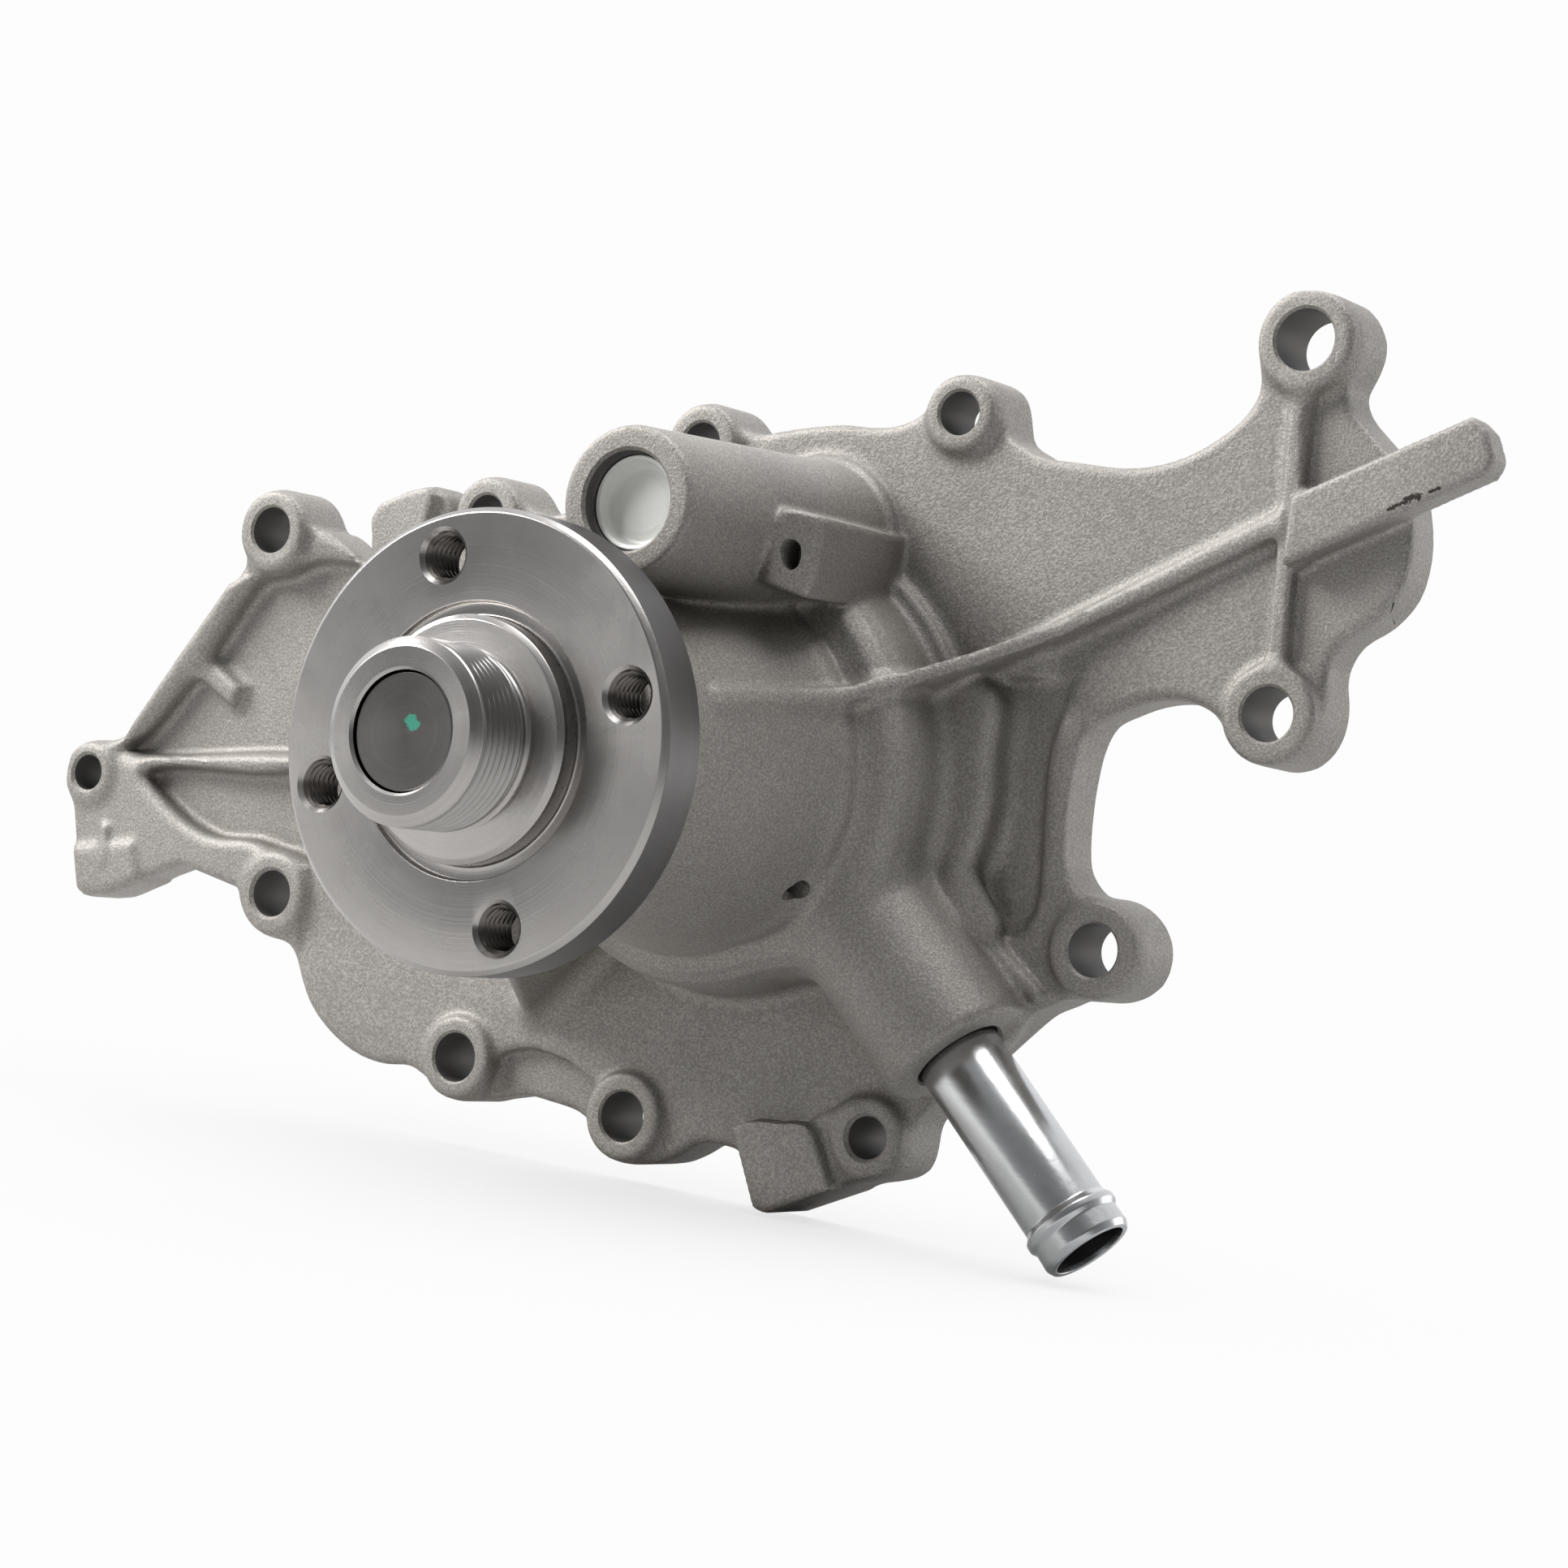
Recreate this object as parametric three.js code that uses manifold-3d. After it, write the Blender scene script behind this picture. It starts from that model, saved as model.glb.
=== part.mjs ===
// Engine coolant pump: die-cast housing with a long bearing snout, a pressed-on fan hub with a
// threaded nose, an integral shaft bearing (one row of rollers, one row of balls), a mechanical
// face seal and a vaned impeller, plus a plugged passage tube and a pressed-in hose nipple.
// Units are millimetres, +Z is up. The origin lies on the shaft axis, in the plane of the
// machined gasket face. The shaft runs along Y; the hub is at the front, towards -Y, and +X is
// to the right as seen from there. Angles are in degrees about the shaft, from +X towards +Z.
import * as THREE from "three";
import { mergeVertices } from "three/addons/utils/BufferGeometryUtils.js";
import { ConvexGeometry } from "three/addons/geometries/ConvexGeometry.js";
import Module from "manifold-3d";

const wasm = await Module();
wasm.setup();

// ---------------------------------------------------------------- shared dimensions
const FIT = 0.12; // radial gap left between pressed-together pieces
const OVERCUT = 5; // how far cutting tools run past the faces they open
const PLATE_Y = -11; // front face of the main plate
const BOSS_Y = -13; // front face of the bolt bosses
const SNOUT_Y = -79.5; // front end of the bearing snout
const CHAMBER = { r: 35.4, front: -22 }; // impeller chamber
const SEAL = { bore: 18.4, front: -33 };
const BEARING = { r: 19.05, bore: 16.6, front: -79.8, rear: -40.8 };
const SHAFT = { r: 9.525, front: -112.2, rear: 0, stepY: -37, tailR: 8 };
const TAIL_BORE = SHAFT.tailR + FIT; // bore of the pieces pressed onto the shaft's tail
const BALLS = { count: 8, r: 4.2, pitchR: 13, y: -48.5 };
const ROLLERS = { count: 10, r: 3.3, pitchR: 13.05, front: -73, rear: -61 };
// plugged passage tube; y is its front end
const TUBE = { x: 8.2, y: -73, z: 42.3, r: 12.5, baseR: 14.9, bore: 8 };
// nipple axis through (x, y, z); face and end are distances along it from that point
const NIPPLE = {
  x: 56.2, y: -18, z: -43.8, angle: -43.5,
  r: 7.5, wall: 1.1, bossR: 13, depth: 10.5, face: -3.5, end: 37,
};

// ---------------------------------------------------------------- helpers
const vec = (x, y, z) => new THREE.Vector3(x, y, z);
const rad = (degrees) => (degrees * Math.PI) / 180;
const polar = (r, angle) => [r * Math.cos(rad(angle)), r * Math.sin(rad(angle))];
const radial = (angle) => vec(Math.cos(rad(angle)), 0, Math.sin(rad(angle)));
const pitchAngles = (count, first = 0) =>
  Array.from({ length: count }, (_, i) => first + (360 / count) * i);
const join = (...solids) => solids.reduce((a, b) => a.add(b));
const cut = (body, ...tools) => tools.reduce((rest, tool) => rest.subtract(tool), body);

const AXIS_Y = vec(0, 1, 0);
const NIPPLE_AXIS = radial(NIPPLE.angle);
const NIPPLE_ORIGIN = vec(NIPPLE.x, NIPPLE.y, NIPPLE.z);

// A closed three.js geometry as a solid, its faces turned outwards if they point inwards.
function solid(source, matrix) {
  let geometry = source.index ? source.toNonIndexed() : source.clone();
  geometry.deleteAttribute("normal");
  geometry.deleteAttribute("uv");
  if (matrix) geometry.applyMatrix4(matrix);
  geometry = mergeVertices(geometry, 1e-4);
  const position = geometry.attributes.position;
  const index = geometry.index.array;
  const corner = (i) => vec(position.getX(i), position.getY(i), position.getZ(i));
  const triangles = [];
  let volume = 0;
  for (let i = 0; i < index.length; i += 3) {
    const [a, b, c] = index.slice(i, i + 3);
    if (a === b || b === c || a === c) continue;
    triangles.push(a, b, c);
    volume += corner(a).dot(corner(b).cross(corner(c)));
  }
  if (volume < 0) triangles.reverse();
  return new wasm.Manifold(new wasm.Mesh({
    numProp: 3,
    vertProperties: new Float32Array(position.array),
    triVerts: new Uint32Array(triangles),
  }));
}

function geometryOf(body) {
  const mesh = body.getMesh();
  const stride = mesh.numProp;
  const vertices = new Float32Array(mesh.numVert * 3);
  for (let i = 0; i < mesh.numVert; i++) {
    vertices.set(mesh.vertProperties.subarray(i * stride, i * stride + 3), i * 3);
  }
  const geometry = new THREE.BufferGeometry();
  geometry.setAttribute("position", new THREE.BufferAttribute(vertices, 3));
  geometry.setIndex(new THREE.BufferAttribute(new Uint32Array(mesh.triVerts), 1));
  geometry.computeVertexNormals();
  return geometry;
}

const vectors2 = (points) => points.map(([a, b]) => new THREE.Vector2(a, b));

function extrusion(points, depth) {
  return new THREE.ExtrudeGeometry(new THREE.Shape(vectors2(points)), {
    depth, bevelEnabled: false,
  });
}

// A polygon of (x, z) points, extruded from front to rear (front < rear).
function prism(points, front, rear) {
  const matrix = new THREE.Matrix4().makeTranslation(0, rear, 0)
    .multiply(new THREE.Matrix4().makeRotationX(Math.PI / 2));
  return solid(extrusion(points, rear - front), matrix);
}

// A plate of (r, y) points standing in the radial plane at an angle. It is thick towards
// larger angles, beginning at the offset start from that plane.
function radialPlate(points, angle, thickness, start) {
  const outward = radial(angle);
  const matrix = new THREE.Matrix4().makeBasis(outward, AXIS_Y, outward.clone().cross(AXIS_Y))
    .multiply(new THREE.Matrix4().makeTranslation(0, 0, start));
  return solid(extrusion(points, thickness), matrix);
}

// A closed curve through (x, z) points, for cast outlines.
function smooth(points, count) {
  const knots = points.map(([x, z]) => vec(x, 0, z));
  const curve = new THREE.CatmullRomCurve3(knots, true, "centripetal");
  return curve.getSpacedPoints(count).slice(0, count).map(({ x, z }) => [x, z]);
}

const lathe = (profile, segments) =>
  new THREE.LatheGeometry(vectors2([...profile, profile[0]]), segments);

// A solid of revolution from a closed (r, t) profile, with t measured along the axis.
function turnedAlong(profile, segments, origin, direction) {
  const rotation = new THREE.Quaternion().setFromUnitVectors(AXIS_Y, direction);
  const matrix = new THREE.Matrix4().compose(origin, rotation, vec(1, 1, 1));
  return solid(lathe(profile, segments), matrix);
}

const barProfile = (r, start, end) => [[0, start], [r, start], [r, end], [0, end]];
const cylinderAlong = (r, start, end, segments, origin, direction) =>
  turnedAlong(barProfile(r, start, end), segments, origin, direction);

// The same about an axis parallel to Y through (x, z).
const turned = (profile, segments, x = 0, z = 0) =>
  turnedAlong(profile, segments, vec(x, 0, z), AXIS_Y);
const rod = (r, front, rear, segments, x, z) =>
  turned(barProfile(r, front, rear), segments, x, z);
const ring = (inner, outer, front, rear, segments) =>
  turned([[inner, front], [outer, front], [outer, rear], [inner, rear]], segments);

// ---------------------------------------------------------------- housing: main plate
const LEFT_WEB_Y = -7; // floor of the left wing's pockets
const RIGHT_WEB_Y = -9.6; // floor of the other pockets

// outline of the main plate (x, z), clockwise seen from the front
const OUTLINE = [
  [-108, 37], [-104.5, 36.5], [-99.5, 34], [-95, 31.8], [-90.8, 31.9], [-90.5, 41],
  [-84.2, 45], [-79, 46.4], [-76.2, 45], [-74, 41], [-71.5, 41.5], [-64.8, 49], [-58, 45],
  [-52, 43.5], [-42, 48], [-33, 54], [-25.5, 61], [-19, 66], [-12.4, 62.2], [-8.4, 61.8],
  [-3.4, 62.8], [2.4, 63.9], [9.1, 64.7], [15, 64.6], [20, 65.3], [25, 68], [29, 73.4],
  [38, 73], [40.6, 68], [42.6, 64.6], [45.8, 63], [48.8, 61.8], [56.8, 61.3], [64.6, 61],
  [70.6, 61.8], [76.4, 63.8], [81.9, 67.2], [85.8, 70.8], [88.1, 75.1], [88.2, 82], [96.2, 92],
  [104.4, 86], [103.6, 79.8], [103.2, 77.1], [104.6, 73.7], [109.3, 69.3], [115, 64],
  [117.4, 57.8], [118.4, 51.1], [117.3, 44.3], [113.7, 39.3], [108.8, 35.6], [106.8, 31.1],
  [107, 24], [103, 16], [92, 17], [87, 21.4], [83, 22.8], [78.8, 22.9], [74, 21.8],
  [69.6, 19.8], [66, 17.6], [64.2, 13.6], [63.5, 8], [63.4, 2.8], [63.9, -4], [65, -8],
  [68.6, -11.4], [74, -12.6], [80.8, -18], [80.4, -24.6], [72, -28.4], [67.9, -29.5],
  [65.8, -30.7], [62.1, -32.7], [58.7, -36], [49.1, -46.8], [43.7, -53.4], [41.6, -57.4],
  [41, -63], [34.9, -65.6], [26.4, -69.6], [20, -70], [10.4, -69], [8.2, -65.8], [3.3, -65.2],
  [-0.4, -65.8], [-4.2, -68.4], [-9, -70.8], [-16, -71.4], [-22, -69.8], [-25.4, -66.6],
  [-28.9, -64.7], [-35.4, -63.9], [-41, -63.6], [-46.6, -65], [-54.6, -66.4], [-61.8, -64],
  [-66.9, -62.2], [-72.6, -62.8], [-77.6, -62.4], [-82.8, -60.8], [-88.4, -57.6], [-92.4, -54],
  [-95.2, -49.7], [-97.1, -46.1], [-100.1, -43], [-105, -41.8], [-110.6, -37.4],
  [-113.4, -33.6], [-118.5, -32.3], [-122.8, -31.7], [-128.2, -30.8], [-132, -32], [-140, -36],
  [-146.6, -39.4], [-151.7, -40.6], [-153.8, -39], [-155.5, -33.2], [-156.4, -30], [-158, -25],
  [-160.2, -19], [-158, -12], [-154.7, -10.8], [-148.5, -8.5], [-135.8, 9.9], [-123.2, 27.8],
  [-123, 36], [-116, 42.9],
];

// pockets cut into the plate's front (x, z): left wing, upper and lower
const LEFT_POCKETS = [
  [
    [-147, -11.2], [-112, -7.6], [-104, -7], [-94, -6], [-92, 10], [-91, 24], [-95, 29.4],
    [-101, 30.4], [-107, 29.6], [-112, 27.4], [-119, 25], [-130, 9], [-142, -6.6],
  ],
  [
    [-141, -15.2], [-112, -12], [-94, -10.4], [-90, -20], [-96, -27], [-112, -25],
    [-122, -25.4], [-132, -22],
  ],
];
// right wing: upper, outer and inner; the strip right of the dome; the step in the lower edge
const RIGHT_POCKETS = [
  [[98.4, 76], [104, 82], [112, 74], [122, 66], [118, 60], [99.6, 58]],
  [[100.4, 48], [118, 58], [124, 56], [122, 36], [108, 26], [101, 26]],
  [[60, 31.6], [92, 50], [95.4, 50], [96.6, 28], [92, 18], [70, 14], [62.5, 19], [58, 24]],
  [
    [40, 22], [60.6, 24.2], [60, 18.4], [58.9, 13.4], [58.6, 8.5], [59.1, 1.6], [59.8, -5.3],
    [60.4, -12.2], [59.4, -17.2], [56.4, -20.4], [52.2, -22], [40, -24],
  ],
  [
    [-48, -57.6], [-42.8, -55.3], [-38.3, -54.5], [-30.7, -55.7], [-24.4, -58.7], [-24, -70],
    [-48, -70],
  ],
];

// raised areas of the plate: y range, then (x, z) outline
const RAISED = [
  { // pad on the left wing's top edge
    front: BOSS_Y, rear: -2,
    points: [
      [-92, 39.5], [-90.5, 42.5], [-84.2, 45.4], [-79, 46.8], [-77.6, 45], [-79, 32],
      [-90.4, 31.4],
    ],
  },
  { // pad on the bottom edge
    front: BOSS_Y - 1.4, rear: 0,
    points: [
      [8.2, -61.1], [11.4, -59.4], [23, -58.1], [24.9, -59.3], [30.2, -68.4], [29, -69.3],
      [17.4, -75], [14.8, -74.5],
    ],
  },
  { // tab to the right of that pad
    front: BOSS_Y + 0.6, rear: 0,
    points: [[23, -57.6], [31, -52.8], [36, -58], [34.8, -65.6], [29.6, -68.2]],
  },
  { // pad at the left end
    front: BOSS_Y, rear: -2,
    points: [
      [-155.4, -32.4], [-153.3, -39.8], [-151.7, -41], [-146.6, -40.3], [-138.1, -36.1],
      [-140.5, -29.6],
    ],
  },
  { // bar at the right-hand end
    front: -15.5, rear: -8.5,
    points: [
      [100.8, 59.2], [128, 73.2], [130.8, 70.9], [132.6, 66.6], [131.6, 64], [101.3, 47.9],
    ],
  },
  { // vertical rib of the right wing
    front: -12.4, rear: -6,
    points: [
      [95.2, 76], [98, 76], [98.6, 60], [100.9, 59.3], [101.4, 47.8], [99.4, 46.6],
      [99.8, 30], [96.8, 30], [96.2, 46.4], [96, 57],
    ],
  },
];

function mainPlate() {
  const pockets = (outlines, floor) =>
    outlines.map((points) => prism(points, PLATE_Y - OVERCUT, floor));
  const plate = cut(
    prism(smooth(OUTLINE, 118), PLATE_Y, 0),
    ...pockets(LEFT_POCKETS, LEFT_WEB_Y),
    ...pockets(RIGHT_POCKETS, RIGHT_WEB_Y),
  );
  return join(plate, ...RAISED.map(({ points, front, rear }) => prism(points, front, rear)));
}

// ---------------------------------------------------------------- housing: snout and dome
// bearing snout, ring step and impeller dome (r, y)
const SNOUT_PROFILE = [
  [0, SNOUT_Y], [23.6, SNOUT_Y], [24.6, SNOUT_Y + 1], [26.2, -66], [29, -52], [31.8, -40],
  [33.2, -35], [34.3, -31], [36, -30.2], [39.2, -29.3], [41.4, -26.6], [42.2, -23.6],
  [42.9, -14.6], [42.9, -5], [0, -5],
];
// How much the dome's radius shrinks on its lower side, fading in from radius innerR over fadeR.
const FLAT = { depth: 4.5, innerR: 29, fadeR: 11 };
// low ledge round the dome's upper right
const LEDGE = { inner: 40, outer: 45.9, first: 24, step: 5.8, steps: 10, front: -13.3 };
// shoulder over the volute, right of the snout (x, z)
const SHOULDER_Y = -16.8;
const SHOULDER = [
  [20, 8], [38, 20.5], [46, 22.5], [50.2, 19], [50.8, 10], [51.8, 1.5], [51.2, -6],
  [49.8, -11.6], [55.6, -18.4], [52, -22], [48, -26], [40, -34], [28, -36], [20, -26],
];

function smoothStep(t) {
  const clamped = Math.min(1, Math.max(0, t));
  return clamped * clamped * (3 - 2 * clamped);
}

function snoutAndDome() {
  const geometry = lathe(SNOUT_PROFILE, 40);
  const position = geometry.attributes.position;
  for (let i = 0; i < position.count; i++) {
    const [x, y, z] = [position.getX(i), position.getY(i), position.getZ(i)];
    const r = Math.hypot(x, z);
    if (r < FLAT.innerR) continue;
    let angle = (Math.atan2(z, x) * 180) / Math.PI;
    // keep angles continuous across the lower half
    if (angle > 90.001) angle -= 360;
    const weight = smoothStep((-40 - angle) / 25) * (1 - smoothStep((-150 - angle) / 40));
    const fade = Math.min(1, (r - FLAT.innerR) / FLAT.fadeR);
    const scale = (r - FLAT.depth * weight * fade) / r;
    position.setXYZ(i, x * scale, y, z * scale);
  }
  return solid(geometry);
}

function domeLedge() {
  const arc = (r) => Array.from({ length: LEDGE.steps + 1 }, (_, i) =>
    polar(r, LEDGE.first + LEDGE.step * i));
  return prism([...arc(LEDGE.outer), ...arc(LEDGE.inner).reverse()], LEDGE.front, -5);
}

// ---------------------------------------------------------------- housing: tube, lug, ribs
// lug on the right side of the tube (x, y, z), and the slot in its front (x, z)
const LUG = [
  [22.7, -50, 42.4], [21.7, -49.4, 36.2], [21.2, -48.4, 32.8], [24.2, -48, 46],
  [28.6, -44.2, 45], [28.9, -44.2, 36.4], [27.4, -44.8, 30.9], [13, -45, 45], [13, -45, 34],
  [12, PLATE_Y + 1, 45.6], [12, PLATE_Y + 1, 33.5],
  [25.4, PLATE_Y + 1, 45.8], [24.4, PLATE_Y + 1, 32.6],
];
const LUG_SLOT = [
  [23.5, 39.3], [24.1, 40.4], [25, 40.6], [25.9, 40], [26.3, 38.2], [25.9, 36.2],
  [25.1, 35.5], [24.2, 36], [23.6, 37.5],
];
// long rib from the snout to the end of the right wing: (r, y); its upper face lies in the
// radial plane at its angle
const LONG_RIB = { angle: 30, thickness: 2.6 };
const LONG_RIB_PROFILE = [
  [110.5, -12.2], [98, -11.9], [82, -12.4], [67, -13.6], [54, -19.3], [42, -27.7],
  [34.5, -35.2], [29.6, -50], [27, -62], [20, -62], [20, -8], [110.5, -8],
];
// gusset on the lower left of the snout: (r, y); centred on its radial plane
const GUSSET = { angle: -130, thickness: 3 };
const GUSSET_PROFILE = [[24, -60], [46, -40], [63, -12.5], [63, -9], [20, -9], [20, -60]];

function passageTube() {
  const footR = TUBE.baseR + 2;
  return turned([
    [0, TUBE.y], [TUBE.r - 0.8, TUBE.y], [TUBE.r, TUBE.y + 0.8], [TUBE.baseR, -20],
    [TUBE.baseR + 1.4, PLATE_Y - 1], [footR, PLATE_Y + 0.5], [footR, -6], [0, -6],
  ], 28, TUBE.x, TUBE.z);
}

const longRib = () => radialPlate(
  LONG_RIB_PROFILE, LONG_RIB.angle, LONG_RIB.thickness, -LONG_RIB.thickness,
);
const gusset = () => radialPlate(
  GUSSET_PROFILE, GUSSET.angle, GUSSET.thickness, -GUSSET.thickness / 2,
);

// ---------------------------------------------------------------- housing: recess and bores
const RECESS_DEPTH = 4.5;
// coolant recess inside the gasket land (x, z): volute, and the runs out to both wings
const RECESS = [
  [-112, 20], [-96, 22], [-84, 30], [-72, 31], [-58, 34], [-46, 40], [-34, 47], [-12, 50],
  [4, 56], [22, 57], [44, 54], [62, 53], [78, 56], [88, 62], [93, 70], [98, 68], [104, 64],
  [109, 56], [109, 48], [104, 41], [98, 36], [86, 32], [72, 28], [61, 22], [59, 4], [59, -6],
  [61, -18], [56, -27], [46, -38], [30, -49], [8, -55], [-4, -52], [-28, -53], [-40, -50],
  [-56, -46], [-76, -50], [-88, -44], [-92, -30], [-104, -23], [-124, -22], [-142, -15],
  [-140, -9], [-130, 3], [-120, 15],
];
// bolt bosses: centre x, centre z, outer radius, hole radius
const BOSSES = [
  [96.2, 84.2, 8.6, 5.2], [98.7, 22.3, 8.4, 4.6], [73.1, -20.4, 8.2, 4.6],
  [33.4, 67.9, 6.8, 3.85], [-19, 59, 7.2, 3.85], [-64.8, 42.3, 7.2, 3.85],
  [-115.9, 35.3, 7.8, 4.5], [-154.4, -16.8, 6.1, 3.55], [-103.4, -34.5, 7.8, 4.5],
  [-54.7, -58.7, 7.7, 4.6], [-15.9, -63.4, 8.1, 4.6], [35, -58.6, 7, 3.75],
];
const WEEP = { chamberR: 17.4, r: 1.8, y: -35.2, angle: -32 }; // between bearing and seal
const PASSAGE_R = 6.4; // behind the plug seat

// bearing, weep chamber, seal and impeller chamber, all on the shaft axis
function shaftBores() {
  const seatR = BEARING.r + FIT;
  const seatRear = BEARING.rear + 0.15;
  return turned([
    [0, SNOUT_Y - OVERCUT], [seatR, SNOUT_Y - OVERCUT], [seatR, seatRear],
    [WEEP.chamberR, seatRear], [WEEP.chamberR, SEAL.front], [SEAL.bore, SEAL.front],
    [SEAL.bore, CHAMBER.front], [CHAMBER.r, CHAMBER.front], [CHAMBER.r, OVERCUT], [0, OVERCUT],
  ], 40);
}

// counterbore at the boss face, press bore, passage into the volute
function nippleBores() {
  const { r, face, depth } = NIPPLE;
  return [
    [r + 0.5, face - 1.6, face + OVERCUT, 28],
    [r + FIT, face - depth - 0.4, face, 28],
    [r - 1.6, -41, face - depth + 1, 20],
  ].map((size) => cylinderAlong(...size, NIPPLE_ORIGIN, NIPPLE_AXIS));
}

function pumpHousing() {
  const casting = join(
    mainPlate(),
    snoutAndDome(),
    domeLedge(),
    prism(SHOULDER, SHOULDER_Y, -6),
    cylinderAlong(NIPPLE.bossR, -46, NIPPLE.face, 28, NIPPLE_ORIGIN, NIPPLE_AXIS),
    passageTube(),
    solid(new ConvexGeometry(LUG.map((point) => vec(...point)))),
    longRib(),
    gusset(),
  );
  // the bosses are joined after the recess is cut, so they run full depth through it
  const bossed = join(
    cut(casting, prism(RECESS, -RECESS_DEPTH, OVERCUT)),
    ...BOSSES.map(([x, z, r]) => rod(r, BOSS_Y, 0, 16, x, z)),
  );
  return cut(
    bossed,
    shaftBores(),
    cylinderAlong(WEEP.r, 14, 40, 16, vec(0, WEEP.y, 0), radial(WEEP.angle)),
    ...BOSSES.map(([x, z, , hole]) => rod(hole, BOSS_Y - OVERCUT, OVERCUT, 12, x, z)),
    rod(TUBE.bore, TUBE.y - OVERCUT, TUBE.y + 12, 28, TUBE.x, TUBE.z),
    rod(PASSAGE_R, TUBE.y + 10, 1, 20, TUBE.x, TUBE.z),
    prism(LUG_SLOT, -54, -42.5),
    ...nippleBores(),
  );
}

// ---------------------------------------------------------------- core plug and hose nipple
// Thin cup, open to the front.
function corePlug() {
  const outer = TUBE.bore - FIT;
  const inner = outer - 0.9;
  const [lip, floor, rear] = [2.6, 7.2, 8.1].map((depth) => TUBE.y + depth);
  return turned([
    [0, floor], [inner, floor], [inner, lip], [outer, lip], [outer, rear], [0, rear],
  ], 28, TUBE.x, TUBE.z);
}

// Tube with a raised bead near its free end.
function hoseNipple() {
  const { r, face, depth, end } = NIPPLE;
  const inner = r - NIPPLE.wall;
  const bead = r + 0.9;
  return turnedAlong([
    [inner, face - depth], [r, face - depth], [r, 29.6], [bead, 31], [bead, 32.4], [r, 33.8],
    [r - 0.2, end - 0.4], [r - 0.6, end], [inner, end],
  ], 28, NIPPLE_ORIGIN, NIPPLE_AXIS);
}

// ---------------------------------------------------------------- fan hub
const HUB = { r: 37.5, face: -95, back: -85, pilotR: 20 };
const NOSE = { r: 15, front: -113, bore: SHAFT.r + FIT };
const STUDS = { count: 4, pitchDiameter: 61.2, drillR: 3.4, sinkR: 4.75, first: 19.7 };

function hubFlange() {
  const { r, face, back, pilotR } = HUB;
  const body = turned([
    [NOSE.bore, back + 3], [NOSE.bore, NOSE.front + 0.45], [NOSE.bore + 0.45, NOSE.front],
    [NOSE.r - 1.6, NOSE.front], [NOSE.r, NOSE.front + 1.6],
    [NOSE.r, -101], [NOSE.r - 0.9, -100.6], [NOSE.r - 0.9, -99.2],
    [pilotR - 0.6, -98.2], [pilotR, -97.6], [pilotR, face + 1.4],
    [22.35, face + 1.4], [22.35, face], [r - 0.8, face], [r, face + 0.8],
    [r, back - 0.8], [r - 0.8, back], [17, back], [16, back + 3],
  ], 40);
  const { drillR, sinkR } = STUDS;
  const holeProfile = [
    [0, face - 2], [sinkR + 0.8, face - 2], [sinkR, face], [drillR, face + 1.35],
    [drillR, back + 2], [0, back + 2],
  ];
  const holes = pitchAngles(STUDS.count, STUDS.first).map((angle) =>
    turned(holeProfile, 12, ...polar(STUDS.pitchDiameter / 2, angle)));
  return cut(body, ...holes);
}

// ---------------------------------------------------------------- shaft and bearing
// Ball groove arc (r, y) on the inner (side -1) or outer (side 1) side of the ball row.
function ballGroove(side) {
  const r = BALLS.r + 0.2;
  return Array.from({ length: 7 }, (_, i) => {
    const angle = rad(side * (50 - 16.6 * i));
    return [BALLS.pitchR + side * r * Math.cos(angle), BALLS.y + r * Math.sin(angle)];
  });
}

function pumpShaft() {
  const { r, front, rear, stepY, tailR } = SHAFT;
  return turned([
    [0, front], [r - 0.35, front], [r, front + 0.35],
    ...ballGroove(-1).filter(([grooveR]) => grooveR < r),
    [r, stepY - 1], [tailR, stepY], [tailR, rear - 0.5], [tailR - 0.5, rear], [0, rear],
  ], 32);
}

function bearingOuterRing() {
  const { r, bore, front, rear } = BEARING;
  return turned([
    [bore, front], [r - 0.4, front], [r, front + 0.4], [r, rear - 0.4], [r - 0.4, rear],
    [bore, rear], ...ballGroove(1).filter(([grooveR]) => grooveR > bore),
  ], 40);
}

function bearingBall(angle) {
  const [x, z] = polar(BALLS.pitchR, angle);
  const matrix = new THREE.Matrix4().makeTranslation(x, BALLS.y, z);
  return solid(new THREE.SphereGeometry(BALLS.r, 10, 7), matrix);
}

function bearingRoller(angle) {
  const { r, front, rear, pitchR } = ROLLERS;
  return turned([
    [0, front], [r - 0.4, front], [r, front + 0.4], [r, rear - 0.4], [r - 0.4, rear], [0, rear],
  ], 12, ...polar(pitchR, angle));
}

function ballCage() {
  const windows = pitchAngles(BALLS.count).map((angle) =>
    cylinderAlong(4.45, 8, 18, 12, vec(0, BALLS.y, 0), radial(angle)));
  return cut(ring(11.7, 14.3, -54, -43.2, 32), ...windows);
}

function rollerCage() {
  const { r, front, rear, count } = ROLLERS;
  const windows = pitchAngles(count).map((angle) => {
    const [x, z] = polar(13, angle);
    const matrix = new THREE.Matrix4().makeTranslation(x, (front + rear) / 2, z)
      .multiply(new THREE.Matrix4().makeRotationY(-rad(angle)));
    return solid(new THREE.BoxGeometry(8, rear - front + 0.6, 2 * r + 0.5), matrix);
  });
  return cut(ring(11.9, 14.2, -76.4, -57.6, 30), ...windows);
}

const bearingSeal = (front) =>
  ring(SHAFT.r + 0.15, BEARING.bore - FIT, front, front + 1.7, 32);

// ---------------------------------------------------------------- mechanical face seal
const SPRING = { r: 15.4, wireR: 0.6, turns: 2.6, front: SEAL.front + 2.2, length: 6 };

// Cup in the seal bore, with a flange against the chamber's front wall.
function sealCup() {
  const outer = SEAL.bore - FIT;
  const inner = outer - 0.8;
  const [front, flange] = [SEAL.front + 0.3, CHAMBER.front + 0.3];
  return turned([
    [inner, flange], [inner, front + 0.8], [11, front + 0.8], [11, front], [outer, front],
    [outer, flange], [20.6, flange], [20.6, flange + 0.8], [inner, flange + 0.8],
  ], 32);
}

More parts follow.
